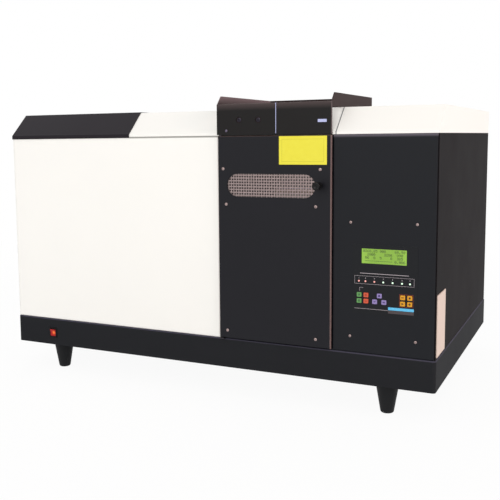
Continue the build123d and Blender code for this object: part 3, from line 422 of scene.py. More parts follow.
def worked_metal(name, colour, paler, roughness, pitch, across="X", strength=0.25):
    """A metal with fine parallel tool marks across one axis, their pitch in metres."""
    material = start_material(name, colour, roughness, metallic=1.0)
    stretch = [1 if axis == across else 0.02 for axis in "XYZ"]
    marks = noise(material, pitch, 3.0, stretch=stretch)
    relief(material, marks, pitch / 8, strength)
    vary(material, "Roughness", noise(material, wear_size, 4.0), roughness - 0.08, roughness + 0.1)
    tint(material, marks, colour, paler)
    return material


coat(worked_metal("blued_steel_rod", "3a383c", "4e4b50", 0.34, 0.6 * MM), "hinge_pins")


# Burner door: a deep tray of the same steel, its corners rounded, hinged on two pins at its left edge.
# Warm brown lines painted along its left and top edges and along the front of its right edge are painted
# highlights.
door_bend = 1.6 * MM
door_low, door_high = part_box("burner_door")
door_steel = powder_coat("black_powder_coat_on_the_door", "101016", "15151c", 0.48, 0.22)
door_front = band(door_steel, "Y", door_low.y + 4 * door_bend, door_low.y + 3 * door_bend)
door_side_highlight = band(door_steel, "X", door_high.x - door_bend, door_high.x - door_bend / 2)
# Painted highlights: warm brown lines along the door's edges.
lay_over(
    door_steel,
    "7d6866",
    joined(door_steel, "MULTIPLY", door_front, door_side_highlight),
    band(door_steel, "X", door_low.x + door_bend / 2, door_low.x + door_bend / 4),
    band(door_steel, "Z", door_high.z - door_bend / 2, door_high.z - door_bend / 4),
)
coat(door_steel, "burner_door")


# Window mesh: stainless wire woven over and under, then rolled flat and clamped behind the door.
# Rolling leaves a flat, dull land on each wire; the pitch is what the eye makes out.
mesh_pitch = 5.0 * MM
wire_half_width = 1.2 * MM
wire_half_thickness = 0.28 * MM
wire_clearance = 0.02 * MM
wire_sides = 6
steps_per_crossing = 3


def fit(name, shape, material, body, smooth_angle=40):
    """Turns a bmesh into a piece that rides on a body, smooth except at its sharper edges."""
    bmesh.ops.recalc_face_normals(shape, faces=shape.faces)
    data = bpy.data.meshes.new(name)
    shape.to_mesh(data)
    shape.free()
    data.materials.append(material)
    data.shade_smooth()
    data.set_sharp_from_angle(angle=math.radians(smooth_angle))
    piece = bpy.data.objects.new(name, data)
    stage.collection.objects.link(piece)
    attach(piece, body)
    return piece


def sew(shape, one, other):
    """Joins two rings of corners by a band of faces."""
    for i in range(len(one)):
        j = (i + 1) % len(one)
        shape.faces.new((one[i], one[j], other[j], other[i]))


def tube(shape, path, side, lift, half_side, half_lift, sides):
    """A bar of oval section along a path, its section spanned by side and lift."""
    angles = [2 * math.pi * (i + 0.5) / sides for i in range(sides)]
    rings = []
    for point in path:
        ring = [point + side * half_side * math.cos(a) + lift * half_lift * math.sin(a) for a in angles]
        rings.append([shape.verts.new(corner) for corner in ring])
    for one, other in zip(rings, rings[1:]):
        sew(shape, one, other)
    shape.faces.new(rings[0][::-1])
    shape.faces.new(rings[-1])


def weave(shape, low, high, y):
    """Fills a rectangle with wires both ways, each passing over one and under the next."""
    counts = [round((high[axis] - low[axis]) / mesh_pitch) for axis in (0, 2)]
    pitches = [(high[axis] - low[axis]) / count for axis, count in zip((0, 2), counts)]
    for first, second, line, width in ((0, 1, upward, to_right), (1, 0, to_right, upward)):
        for wire in range(counts[first]):
            start = Vector((low[0], y, low[2])) + width * pitches[first] * (wire + 0.5)
            path = []
            for step in range(counts[second] * steps_per_crossing + 1):
                travel = step / steps_per_crossing
                swing = math.sin(math.pi * (travel + wire)) * (1 if first else -1)
                bent = to_back * wire_half_thickness * swing
                path.append(start + line * pitches[second] * travel + bent)
            tube(shape, path, width, to_back, wire_half_width, wire_half_thickness, wire_sides)


mesh_low, mesh_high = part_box("door_mesh")
woven = bmesh.new()
weave(woven, mesh_low, mesh_high, mesh_low.y + 2 * wire_half_thickness + wire_clearance)
mesh_steel = worked_metal("rolled_stainless_wire", "8f7f7d", "a59694", 0.42, 0.5 * MM)
window_mesh = fit("window_mesh", woven, mesh_steel, "burner_door")
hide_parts("door_mesh")


# Door knob: a turned and dished knob of black phenolic, screwed through the door sheet.
# Phenolic is polished on a buff, so the dish shows one small clear highlight.
knob_phenolic = moulded_plastic("black_phenolic", "0d0d0e", "131314", 0.16, 2.0 * MM, ior=1.6, gloss=0.14)
coat(knob_phenolic, "door_knob")


# Screws: pressed steel pan heads with a cross recess, nickel plated on the door and the panel, blued in
# the hood's holes and worn pale on the apron. Each was turned to its own stop, so no two stand alike.
screw_dome_share = 0.45
recess_half_width_share = 0.13
recess_reach_share = 0.6
recess_depth_share = 0.75
screw_rings = 14
screw_sectors = 48
weld_reach = 0.001 * MM


def spots(name, reach):
    """The two corners of each solid of a frame node, told apart by their places in X and Z."""
    groups = []
    for vertex in nodes[name].data.vertices:
        near = [group for group in groups if (group[0].xz - vertex.co.xz).length < reach]
        if near:
            near[0].append(vertex.co.copy())
        else:
            groups.append([vertex.co.copy()])
    return [[Vector(map(end, zip(*group))) for end in (min, max)] for group in groups]


def screw_head(shape, centre, out, radius, height, turn_angle):
    """A pan head standing out from its seat along a direction, with a pressed cross recess."""
    basis = out.to_track_quat("Z", "Y").to_matrix() @ Matrix.Rotation(turn_angle, 3, "Z")
    rings = []
    for i in range(screw_rings + 1):
        share = i / screw_rings
        ring = []
        for j in range(screw_sectors):
            angle = 2 * math.pi * j / screw_sectors
            u, v = share * math.cos(angle), share * math.sin(angle)
            rise = 1 - screw_dome_share * share**4
            arm = min(max(abs(u), abs(v)) / recess_reach_share, 1)
            if min(abs(u), abs(v)) < recess_half_width_share and arm < 1:
                rise -= recess_depth_share * (1 - arm**3)
            ring.append(shape.verts.new(centre + basis @ Vector((u * radius, v * radius, rise * height))))
        rings.append(ring)
    rings.append([shape.verts.new(v.co - out * (v.co - centre).dot(out)) for v in rings[-1]])
    for one, other in zip(rings, rings[1:]):
        sew(shape, one, other)
    shape.faces.new(rings[-1])
    bmesh.ops.remove_doubles(shape, verts=rings[0], dist=weld_reach)


screw_reach = 10 * MM
screw_height = 1.6 * MM
hood_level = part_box("hood_apron_left")[0].z
above_apron = hood_level + 15.0 * MM
screw_marks = 0.4 * MM
door_share = 0.92
panel_share = 0.8
polish = {"pitch": screw_marks, "strength": 0.1}
screw_steel = worked_metal("nickel_plated_steel_screw", "a08b89", "bca9a6", 0.34, **polish)
worn_steel = worked_metal("worn_blued_steel_screw", "6c6476", "837b8f", 0.34, **polish)
blued_steel = worked_metal("blued_steel_screw", "2a282e", "3d3a43", 0.3, **polish)
screw_turns = random.Random(7)
for name, node, body, material, bottom, top, share in (
    ("door_screws_recessed", "door_screws", "burner_door", screw_steel, 0, hood_level, door_share),
    ("panel_screws_recessed", "cabinet_screws", "cabinet", screw_steel, 0, hood_level, panel_share),
    ("apron_screw_recessed", "cabinet_screws", "cabinet", worn_steel, hood_level, above_apron, panel_share),
    ("hood_screws_recessed", "cabinet_screws", "cabinet", blued_steel, above_apron, cad_high[2], 1.0),
):
    heads = bmesh.new()
    for low, high in spots(node, screw_reach):
        middle = (low + high) / 2
        if bottom < middle.z < top:
            seat = Vector((middle.x, low.y + screw_height, middle.z))
            radius = share * (high.x - low.x) / 2
            screw_head(heads, seat, to_front, radius, screw_height, screw_turns.uniform(0, math.pi))
    screws = fit(name, heads, material, body, smooth_angle=30)
    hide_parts(node)


# Yellow plate: thin aluminium, stove enamelled yellow, glued flat in the door's top right corner.
# It carries only a fine silk-screened olive line inside its edge.
coat(enamel("yellow_enamel", "e7dc2f", "ebe23c", 0.38), "door_plate")
ink_rise = 0.04 * MM
ink_mottle = 0.8 * MM
border_inset = 5.2 * MM
border_width = 0.45 * MM


def slab(shape, low, high):
    """A flat box between two corners."""
    corners = [(x, y, z) for z in (low[2], high[2]) for y in (low[1], high[1]) for x in (low[0], high[0])]
    made = [shape.verts.new(corner) for corner in corners]
    for face in ((0, 2, 3, 1), (4, 5, 7, 6), (0, 1, 5, 4), (1, 3, 7, 5), (3, 2, 6, 7), (2, 0, 4, 6)):
        shape.faces.new([made[i] for i in face])


def print_frame(x, z, face, width):
    """A printed rectangle of line on a face that looks towards -Y."""
    shape = bmesh.new()
    for low_x, high_x in ((x[0], x[0] + width), (x[1] - width, x[1])):
        slab(shape, (low_x, face - ink_rise, z[0]), (high_x, face, z[1]))
    for low_z, high_z in ((z[0], z[0] + width), (z[1] - width, z[1])):
        slab(shape, (x[0] + width, face - ink_rise, low_z), (x[1] - width, face, high_z))
    return shape


def printed_ink(name, colour, paler):
    """Silk-screen ink: matt and dense, with the faint mottle of the screen."""
    return fine_finish(name, colour, paler, 0.6, ink_mottle, 0.02 * MM, 0.3)


plate_low, plate_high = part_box("door_plate")
border_x = (plate_low.x + border_inset, plate_high.x - border_inset)
border_z = (plate_low.z + border_inset, plate_high.z - border_inset)
border = print_frame(border_x, border_z, plate_low.y, border_width)
olive_ink = printed_ink("olive_silk_screen_ink", "b5b02c", "c3bd35")
plate_border = fit("door_plate_border", border, olive_ink, "burner_door")


# Hood: cheeks and back folded from one sheet, with two apron plates screwed on in front.
# The aprons' rounded tops are painted a paler brown and the right apron's right edge a brown line, as
# painted highlights; the shell is painted brown, its left cheek paler towards the crest, as painted light,
# and its coat is dull.
apron_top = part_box("hood_apron_left")[1].z
apron_highlight_depth = 12.0 * MM
hood_edge = 1.4 * MM
apron_steel = powder_coat("black_powder_coat_on_the_aprons", "121010", "171414", 0.48, 0.2)
# Painted highlights: the aprons' tops fade up to a paler brown, and the right apron's right edge gets a
# brown line.
lay_over(apron_steel, "4a3f3f", band(apron_steel, "Z", apron_top - apron_highlight_depth, apron_top))
apron_end = hood_high.x - hood_edge
lay_over(apron_steel, "5c4f50", band(apron_steel, "X", apron_end, apron_end + hood_edge / 2))
coat(apron_steel, "hood_apron_left", "hood_apron_right")
# Painted light: the shell is painted brown, its left cheek paler and palest towards the crest.
hood_steel = powder_coat("dull_black_powder_coat_painted_with_light", "352828", "382b2b", 0.55, 0.08)
hood_crest = band(hood_steel, "Z", apron_top, hood_high.z)
left_cheek_painted_light = band(hood_steel, "X", hood_low.x + 2 * hood_edge, hood_low.x + hood_edge)
lay_over(hood_steel, "4a3f3f", left_cheek_painted_light)
lay_over(hood_steel, "8c787c", joined(hood_steel, "MULTIPLY", hood_crest, left_cheek_painted_light))
coat(hood_steel, "hood_shell")


# Strip between the aprons and the small plate on the right one: aluminium, clear anodised.
# Anodising keeps the drawn metal's pale, slightly violet shine.
coat(worked_metal("clear_anodised_aluminium", "a4a8d0", "c0c4e6", 0.3, 0.5 * MM, across="Z"), "hood_trim")


# Right front panel: the same black sheet, with a printed polyester film glued on round the controls.
# A pale violet line painted along its top bend is a painted highlight; the film is as dark as the panel.
panel_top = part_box("right_front_panel")[1].z
panel_bend = 6.0 * MM
black_steel = powder_coat("black_powder_coat_on_the_panel", "101217", "15171d", 0.5, 0.2)
panel_highlight_level = panel_top - panel_bend
# Painted highlight: a pale violet band along the panel's top bend.
lay_over(black_steel, "5d5861", band(black_steel, "Z", panel_highlight_level, panel_top - panel_bend / 3))
coat(black_steel, "right_front_panel")
film_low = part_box("control_overlay")[0]
film_face = film_low.y
film_texture = 0.5 * MM
pale_line = 0.35 * MM
red_line = 0.6 * MM
lamp_frame = (3.5, 105.2, 52.2, 66.2)
pale_bars = (
    (13, 96, 70.3, 71.1),
    (3.5, 61.5, 9.0, 9.5),
    (12.3, 12.7, 39.6, 45.6),
    (12.3, 18.5, 45.6, 46.0),
)
cyan_bars = ((62, 105.2, 10.2, 15.0),)
grey_bars = ((62, 105.2, 4.4, 9.8),)
group_gap = 1.0 * MM


def on_film(bar):
    """The X and Z ranges of a left, right, bottom and top in millimetres from the film's corner."""
    left, right, bottom, top = (mm * MM for mm in bar)
    return (film_low.x + left, film_low.x + right), (film_low.z + bottom, film_low.z + top)


def film_print(name, shape, ink, bars=()):
    """Adds printed bars to a shape and lays it on the film."""
    for bar in bars:
        x, z = on_film(bar)
        slab(shape, (x[0], film_face - ink_rise, z[0]), (x[1], film_face, z[1]))
    piece = fit(name, shape, ink, "cabinet")


film_look = ("0f1115", "14161b", 0.42, film_texture, 0.02 * MM, 0.35)
coat(fine_finish("black_polyester_film", *film_look, ior=1.64, gloss=0.14), "control_overlay")
pale_ink = printed_ink("pale_grey_silk_screen_ink", "b4aab0", "c4bbc1")
lamp_border = print_frame(*on_film(lamp_frame), film_face, pale_line)
film_print("panel_pale_print", lamp_border, pale_ink, pale_bars)
cyan_ink = printed_ink("cyan_silk_screen_ink", "4db8ea", "6cc6f0")
film_print("panel_cyan_bar", bmesh.new(), cyan_ink, cyan_bars)
grey_ink = printed_ink("grey_brown_silk_screen_ink", "3b3337", "463d41")
film_print("panel_grey_bar", bmesh.new(), grey_ink, grey_bars)

key_names = [name for name in nodes if name.startswith("key_")]
amber_boxes = [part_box(name) for name in key_names if "amber" in name]
amber_lows, amber_highs = zip(*amber_boxes)
red_x, red_z = (
    (min(low[axis] for low in amber_lows) - group_gap, max(high[axis] for high in amber_highs) + group_gap)
    for axis in (0, 2)
)
red_ink = printed_ink("dark_red_silk_screen_ink", "7c2a1c", "8c3222")
film_print("panel_red_outline", print_frame(red_x, red_z, film_face, red_line), red_ink)


# Status lamps: seven 3 mm light-emitting diodes, their domed epoxy lenses just proud of the film.
# The first three glow pinkish red, the rest green, brightest in the middle of each dome.
lens_proud = 0.6 * MM
lens_rim = 0.25 * MM
diode_reach = 5 * MM
epoxy_cloud = 1 / 900
dome_rings = 6
round_sectors = 28


def lathe(shape, profile, origin, axis, sectors, closed=False):
    """Turns (radius, distance along the axis) points round an axis, as a cup or as a closed ring."""
    basis = axis.to_track_quat("Z", "Y").to_matrix()
    angles = [2 * math.pi * j / sectors for j in range(sectors)]
    rings = []
    for radius, distance in profile:
        ring = [Vector((radius * math.cos(a), radius * math.sin(a), distance)) for a in angles]
        rings.append([shape.verts.new(origin + basis @ point) for point in ring])
    for one, other in zip(rings, rings[1:] + rings[:1] if closed else rings[1:]):
        sew(shape, one, other)
    for ring in () if closed else (rings[0], rings[-1]):
        if (ring[0].co - ring[1].co).length < weld_reach / 10:
            bmesh.ops.remove_doubles(shape, verts=ring, dist=weld_reach)
        else:
            shape.faces.new(ring)


diodes = sorted(spots("status_lamps", diode_reach), key=lambda corners: corners[0].x)
for colour, dark, light, glow, row in (
    ("red", "c26660", "f0b0a8", 0.6, diodes[:3]),
    ("green", "7fae88", "d9f5dc", 0.95, diodes[3:]),
):
    lit = {"Emission Color": linear(light)}
    epoxy = start_material(f"{colour}_diffused_epoxy", dark, 0.12, ior=1.55, more=lit)
    tint(epoxy, noise(epoxy, epoxy_cloud, 1.0), dark, light)
    facing = add(epoxy, "LayerWeight", {"Blend": 0.35}).outputs["Facing"]
    vary(epoxy, "Emission Strength", facing, glow, glow * 0.2)
    domes = bmesh.new()
    for low, high in row:
        radius = (high.x - low.x) / 2
        middle = (low + high) / 2
        dome = [(radius, -2 * lens_rim), (radius, lens_rim / 2)]
        for i in range(1, dome_rings + 1):
            angle = math.pi / 2 * i / dome_rings
            rise = (lens_proud - lens_rim / 2) * math.sin(angle)
            dome.append((radius * math.cos(angle), lens_rim / 2 + rise))
        lathe(domes, dome, Vector((middle.x, film_face, middle.z)), to_front, round_sectors)
    lamps = fit(f"status_lamps_{colour}", domes, epoxy, "cabinet", smooth_angle=60)
    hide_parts("status_lamps")


# Numbers over the status lamps: the lamps are numbered from one to seven in the film's pale ink.
# They are screened through a fine mesh, which widens each stroke a little.
number_size = 3.0 * MM
number_rise = 3.9 * MM
stroke_growth = 0.05 * MM
for number, (low, high) in enumerate(diodes, 1):
    curve = bpy.data.curves.new(f"lamp_number_{number}", "FONT")
    curve.body = str(number)
    curve.size = number_size
    curve.align_x = "CENTER"
    curve.align_y = "CENTER"
    curve.extrude = ink_rise / 2
    curve.offset = stroke_growth
    curve.materials.append(pale_ink)
    mark = bpy.data.objects.new(curve.name, curve)
    centre = Vector(((low.x + high.x) / 2, film_face - ink_rise / 2, high.z + number_rise))
    mark.matrix_world = Matrix.Translation(centre) @ Matrix.Rotation(math.pi / 2, 4, "X")
    stage.collection.objects.link(mark)
    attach(mark, "cabinet")


# Display: a four-line character display behind a clear window, lit yellow-green and brighter at its ends.
# Each character is a block of 5 by 7 dark dots; only plain figures and signs show.
dot_pitch = 0.62 * MM
dot_size = 0.6 * MM
character_pitch = 3.6 * MM
line_pitch = 5.65 * MM
characters_across = 20
cell_recess = 0.35 * MM
dot_rise = 0.05 * MM
dot_rows = {
    "0": "01110 10001 10011 10101 11001 10001 01110",
    "1": "00100 01100 00100 00100 00100 00100 01110",
    "2": "01110 10001 00001 00110 01000 10000 11111",
    "3": "11110 00001 00001 01110 00001 00001 11110",
    "4": "00010 00110 01010 10010 11111 00010 00010",
    "5": "11111 10000 11110 00001 00001 10001 01110",
    "6": "00110 01000 10000 11110 10001 10001 01110",
    "8": "01110 10001 10001 01110 10001 10001 01110",
    "9": "01110 10001 10001 01111 00001 00010 01100",
    ".": "00000 00000 00000 00000 00000 01100 01100",
    "-": "00000 00000 00000 11111 00000 00000 00000",
}
display_lines = (
    "0268.85 908    68.98",
    "  2800    3286  890 ",
    " 86  8  5    8  385 ",
    " ------------- 0.886",
)

window_low, window_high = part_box("display_window")
window_middle = (window_low + window_high) / 2
cell_face = window_low.y + cell_recess
cell_half = window_high.x - window_middle.x
cell = bmesh.new()
slab(cell, (window_low.x, cell_face, window_low.z), window_high)
lit_cell = {"Emission Color": linear("96cf2e"), "Coat Weight": 0.6, "Coat Roughness": 0.08}
backlight = start_material("yellow_green_backlit_cell", "749d27", 0.25, more=lit_cell)
middle_x = window_middle.x
two_ends = [band(backlight, "X", middle_x + half / 2, middle_x + half) for half in (-cell_half, cell_half)]
cell_ends = joined(backlight, "MAXIMUM", *two_ends)
tint(backlight, cell_ends, "749d27", "7faa30")
vary(backlight, "Emission Strength", cell_ends, 0.175, 0.22)
display_cell = fit("display_cell", cell, backlight, "cabinet")
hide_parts("display_window")

dots = bmesh.new()
first_x = middle_x - characters_across * character_pitch / 2
first_z = window_middle.z + len(display_lines) * line_pitch / 2 - dot_pitch / 2
for line_number, line_text in enumerate(display_lines):
    for column, character in enumerate(line_text):
        for row, pattern in enumerate(dot_rows.get(character, "").split()):
            for dot, on in enumerate(pattern):
                if on == "1":
                    x = first_x + column * character_pitch + dot * dot_pitch
                    z = first_z - line_number * line_pitch - row * dot_pitch
                    slab(dots, (x, cell_face - dot_rise, z - dot_size), (x + dot_size, cell_face, z))
liquid_crystal = printed_ink("dark_liquid_crystal", "16240a", "1c2c0e")
display_dots = fit("display_dots", dots, liquid_crystal, "cabinet")


# Keys: coloured caps moulded in acetal, each with its printed mark, sprung on a switch behind the panel.
# Their rims are a shade darker; the marks are outlines of (right, up) shares of half their size.
# Each colour gives the rim, the face and the mark's two tones.
key_colours = {
    "green": ("4c8648", "5c9652", "1f4a26", "28552e"),
    "red": ("c5452a", "d15433", "9a2f1e", "a83826"),
    "purple": ("7a6aa6", "9080b8", "3d2c66", "483673"),
    "amber": ("cc860a", "da9a08", "4a2a0a", "563210"),
}
key_face_y = min(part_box(name)[0].y for name in key_names)
key_rim_depth = 0.5 * MM
key_grain = 0.6 * MM
mark_half = 2.4 * MM

up_arrow = [(0, 1), (0.9, 0), (0.35, 0), (0.35, -0.9), (-0.35, -0.9), (-0.35, 0), (-0.9, 0)]
upper_half = [(-0.9, 0.3), (-0.3, 0.3), (-0.3, 0.9), (0.3, 0.9), (0.3, 0.3), (0.9, 0.3)]
plus = upper_half + [(-u, -v) for u, v in upper_half]
minus = [(-0.9, 0.3), (0.9, 0.3), (0.9, -0.3), (-0.9, -0.3)]
disc_corners = 20
disc_radius = 0.8
disc_angles = [2 * math.pi * i / disc_corners for i in range(disc_corners)]
key_marks = {
    "key_green_upper": up_arrow,
    "key_green_lower": [(u, -v) for u, v in up_arrow],
    "key_red_upper": plus,
    "key_red_lower": minus,
    "key_purple_upper": [(-0.75, 0.75), (0.75, 0.75), (0.75, -0.75), (-0.75, -0.75)],
    "key_purple_left": [(-0.9, 0.1), (-0.55, 0.45), (-0.25, 0.1), (0.6, 0.9), (0.95, 0.55), (-0.25, -0.65)],
    "key_purple_right": [(v, -u) for u, v in up_arrow],
    "key_amber_upper_left": minus,
    "key_amber_upper_right": [(disc_radius * math.cos(a), disc_radius * math.sin(a)) for a in disc_angles],
    "key_amber_lower_left": [(-0.7, 0.9), (0.9, 0), (-0.7, -0.9)],
    "key_amber_lower_right": plus,
}
acetal, mark_ink = {}, {}
for colour, (rim, face, dark, light) in key_colours.items():
    cap = start_material(f"{colour}_acetal", face, 0.34, ior=1.48)
    tint(cap, band(cap, "Y", key_face_y, key_face_y + key_rim_depth), face, rim)
    grain = noise(cap, key_grain, 2.0)
    relief(cap, grain, 0.03 * MM, 0.3)
    vary(cap, "Roughness", grain, 0.3, 0.4)
    acetal[colour] = cap
    mark_ink[colour] = printed_ink(f"dark_ink_on_{colour}", dark, light)
for name in key_names:
    colour = name.split("_")[1]
    coat(acetal[colour], name)
    low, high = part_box(name)
    middle = (low + high) / 2
    outline = [(middle.x + u * mark_half, middle.z + v * mark_half) for u, v in key_marks[name]]
    printed = bmesh.new()
    outer = [printed.verts.new((x, low.y - ink_rise, z)) for x, z in outline]
    inner = [printed.verts.new((x, low.y, z)) for x, z in outline]
    printed.faces.new(outer)
    sew(printed, outer, inner)
    mark = fit(name + "_mark", printed, mark_ink[colour], name)


# Display board: a glass-fibre circuit board on studs behind the panel, with the display and switches.
# Solder resist over the copper tracks gives it a green gloss with faint raised lines.
track_pitch = 1.5 * MM
board = start_material("glass_fibre_circuit_board", "12492c", 0.35, ior=1.55)
board_look = {"Scale": 1 / (20 * track_pitch), "Color1": linear("12492c"), "Color2": linear("17583a")}
tracks = add(board, "TexBrick", board_look, {"Vector": place(board)}).outputs
drive(board, "Base Color", tracks["Color"])
relief(board, tracks["Fac"], 0.05 * MM, 0.5)
coat(board, "display_board")


# Power switch: a lit rocker of red polycarbonate in a black bezel clipped into the plinth.
# A neon behind it glows through the plastic, strongest a little right of its middle.
nylon = moulded_plastic("black_nylon", "0e0e10", "131315", 0.5, 0.7 * MM, ior=1.53, gloss=0.12)
coat(nylon, "switch_bezel")
neon_share = 0.64
neon_core = 0.5 * MM
neon_reach = 5.5 * MM
rocker_low, rocker_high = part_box("power_rocker")
neon_x = rocker_low.x + neon_share * (rocker_high.x - rocker_low.x)
neon = Vector((neon_x, rocker_low.y, (rocker_low.z + rocker_high.z) / 2))
rocker = start_material("red_polycarbonate", "a81c1c", 0.18, ior=1.58, gloss=0.16)
away = add(rocker, "VectorMath", {"operation": "DISTANCE", 1: neon}, {0: place(rocker)}).outputs["Value"]
near = spread(rocker, away, neon_core, neon_reach, 1.0, 0.0)
tint(rocker, near, "a01a1c", "e0501c")
tint(rocker, near, "c01c12", "ffb040", "Emission Color")
vary(rocker, "Emission Strength", near, 0.12, 0.7)
coat(rocker, "power_rocker")


# Cooling fan: a square frame and a seven-blade rotor, moulded in glass-filled polyester, behind the grille.
# The filled plastic is a dull charcoal, with finer gloss on the blades.
polyester = moulded_plastic("glass_filled_polyester", "17181a", "222326", 0.55, 0.6 * MM, ior=1.56)
coat(polyester, "fan_frame", "fan_rotor")


# Mains inlet: a three-pin socket moulded in black phenolic, screwed to the rear panel.
# Its flange is smooth, so it shines more than the coated sheet round it.
coat(moulded_plastic("black_phenolic_socket", "101011", "171718", 0.3, 0.9 * MM, ior=1.6), "mains_inlet")


# Gas fittings: three brass bulkhead unions for air and fuel gas, turned from hexagon bar.
# Turning leaves fine rings round each tail, and the brass has darkened a little.
coat(worked_metal("turned_brass", "b8914a", "d4ae66", 0.3, 0.5 * MM, across="Y"), "gas_fittings")


# Rear fixings: plated screws along the rear panel's edges, at the fan's corners and on the inlet.
# They are the screws of the front, with smaller ones for the inlet.
rear_screw_inset = 9.0 * MM
rear_screw_columns = 5
rear_screw_radius = 2.6 * MM
rear_screw_height = 1.5 * MM
fan_screw_inset = 7.5 * MM
inlet_screw_inset = 4.6 * MM
inlet_screw_radius = 1.9 * MM


def inner_ends(box, axis, inset):
    """A box's two ends along an axis, moved in by an inset."""
    low, high = box
    return low[axis] + inset, high[axis] - inset


rear_box, fan_box, inlet_box = (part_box(name) for name in ("rear_panel", "fan_frame", "mains_inlet"))
first, last = inner_ends(rear_box, 0, rear_screw_inset)
column_pitch = (last - first) / (rear_screw_columns - 1)
rear_x = [first + column * column_pitch for column in range(rear_screw_columns)]
fan_x, fan_z = (inner_ends(fan_box, axis, fan_screw_inset) for axis in (0, 2))
rear_grid = [(x, z) for x in rear_x for z in inner_ends(rear_box, 2, rear_screw_inset)]
rear_grid += [(x, z) for x in fan_x for z in fan_z]
rear_places = [(x, rear_box[1].y, z, rear_screw_radius) for x, z in rear_grid]
inlet_z = (inlet_box[0].z + inlet_box[1].z) / 2
for x in inner_ends(inlet_box, 0, inlet_screw_inset):
    rear_places.append((x, inlet_box[1].y, inlet_z, inlet_screw_radius))
rear_heads = bmesh.new()
for x, y, z, radius in rear_places:
    turn_angle = screw_turns.uniform(0, math.pi)
    screw_head(rear_heads, Vector((x, y, z)), to_back, radius, rear_screw_height, turn_angle)
rear_screws = fit("rear_panel_screws", rear_heads, screw_steel, "cabinet", smooth_angle=30)


# Burner bay walls and drip tray: 1.5 and 1 mm stainless sheet, brushed, then folded and spot welded.
# Years of heat have darkened the steel and straw-tinted it above the burner.
brush_pitch = 0.8 * MM
burner_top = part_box("burner_head")[1].z
wall_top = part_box("bay_walls")[1].z
wall_steel = start_material("brushed_stainless_sheet", "636160", 0.34, metallic=1.0)
scratches = noise(wall_steel, brush_pitch, 4.0, stretch=(0.03, 0.03, 1))
relief(wall_steel, scratches, brush_pitch / 10, 0.3)
vary(wall_steel, "Roughness", scratches, 0.26, 0.44)
tint(wall_steel, band(wall_steel, "Z", burner_top, wall_top), "636160", "62553f")
coat(wall_steel, "bay_walls", "drip_tray")


# Burner stand: two ground rods in a foot milled from aluminium bar, standing in the drip tray.
# Milling leaves broad shallow marks that catch the light in bands.
coat(worked_metal("milled_aluminium", "a9abad", "c2c4c6", 0.32, 1.2 * MM), "burner_stand")


# Burner carriage with its spray chamber: moulded in grey polyphenylene sulphide, which acids leave alone.
# It is hard and close-grained, with a dull even shine.
sulphide = moulded_plastic("grey_polyphenylene_sulphide", "55585a", "616467", 0.42, 0.8 * MM, ior=1.6)
coat(sulphide, "burner_carriage")


# Burner head: a slot burner milled from titanium, its top blued and browned by the flame.
# The tint fades down from the top through straw to the bare metal.
heat_reach = 12 * MM
titanium_grain = 0.8 * MM
titanium = start_material("milled_titanium", "8d8a86", 0.36, metallic=1.0)
heated = band(titanium, "Z", burner_top - heat_reach, burner_top)
tint(titanium, heated, "8d8a86", "5c6480", between=(0.6, "9a7c50"))
milled = noise(titanium, titanium_grain, 3.0)
relief(titanium, milled, 0.05 * MM, 0.25)
vary(titanium, "Roughness", milled, 0.3, 0.44)
coat(titanium, "burner_head")


# Optical bench, turret and lens mounts: aluminium plate and bar, milled and satin anodised.
# Anodising dulls the milling marks to a soft grey sheen.
satin_aluminium = worked_metal("satin_anodised_aluminium", "9a9c9f", "b0b2b5", 0.4, 1.0 * MM)
coat(satin_aluminium, "optical_bench", "lamp_turret")
coat(worked_metal("black_anodised_aluminium", "2a2b2e", "36373a", 0.42, 1.0 * MM), "lens_mounts")


# Hollow cathode lamps: six glass envelopes with a window end, each in a phenolic base in the turret.
# Inside each stand the cup-shaped cathode and its ring anode between two mica discs.
# The profiles are radii and distances along the lamp in millimetres.
lamp_count = 6
base_length = 14.0 * MM
glass_radius = 16.8 * MM
glass_wall = 1.2 * MM
glass_dome = 8.0 * MM
glass_tip = 0.2 * MM
glass_marks = 3 * MM
socket_margin = 17.0 * MM
base_profile = ((13.32, 0), (14.8, 1), (14.8, 14), (16.8, 14.2), (16.8, 19), (15.6, 19.6))
cathode_cup = ((5, 0), (5, 16), (3.2, 16), (3.2, 6), (0.01, 6))
anode_ring = ((9, 20), (9, 21.5), (6.5, 21.5), (6.5, 20))
mica_disc = ((13.5, 0), (13.5, 0.4), (5.2, 0.4), (5.2, 0))
cup_reach = 38 * MM
mica_offsets = (-1 * MM, 17 * MM)
stalk_side = 7.5 * MM
stalk_ends = (5 * MM, 20.5 * MM)
stalk_radius = 0.6 * MM
stalk_sides = 8
electrode_sectors = 16
mica_sectors = 20


def lamp_envelope(shape, start, end, centre):
    """A thin glass tube closed at its far end by a rounded window."""
    outer, inner = [], []
    length = end - start
    for wall, line in ((0, outer), (glass_wall, inner)):
        radius = glass_radius - wall
        round_radius = glass_dome - wall
        line.append((radius, 0))
        for i in range(dome_rings + 1):
            angle = math.pi / 2 * i / dome_rings
            reach = radius - round_radius + round_radius * math.cos(angle)
            line.append((reach, length - glass_dome + round_radius * math.sin(angle)))
        line.append((glass_tip, length - wall))
    lathe(shape, outer + inner[::-1], Vector((start, *centre)), to_right, round_sectors, closed=True)


def lamp_part(shape, profile, x, centre, sectors, closed=False):
    """Turns a profile in millimetres round a lamp's axis."""
    turned = [(radius * MM, distance * MM) for radius, distance in profile]
    lathe(shape, turned, Vector((x, *centre)), to_right, sectors, closed)


def clear_glass(name, colour, roughness, ior, size, detail, depth, strength, stretch=None):
    """Clear glass with faint marks of how it was drawn or polished."""
    material = start_material(name, colour, roughness, ior=ior, more={"Transmission Weight": 1.0})
    relief(material, noise(material, size, detail, stretch=stretch), depth, strength)
    return material


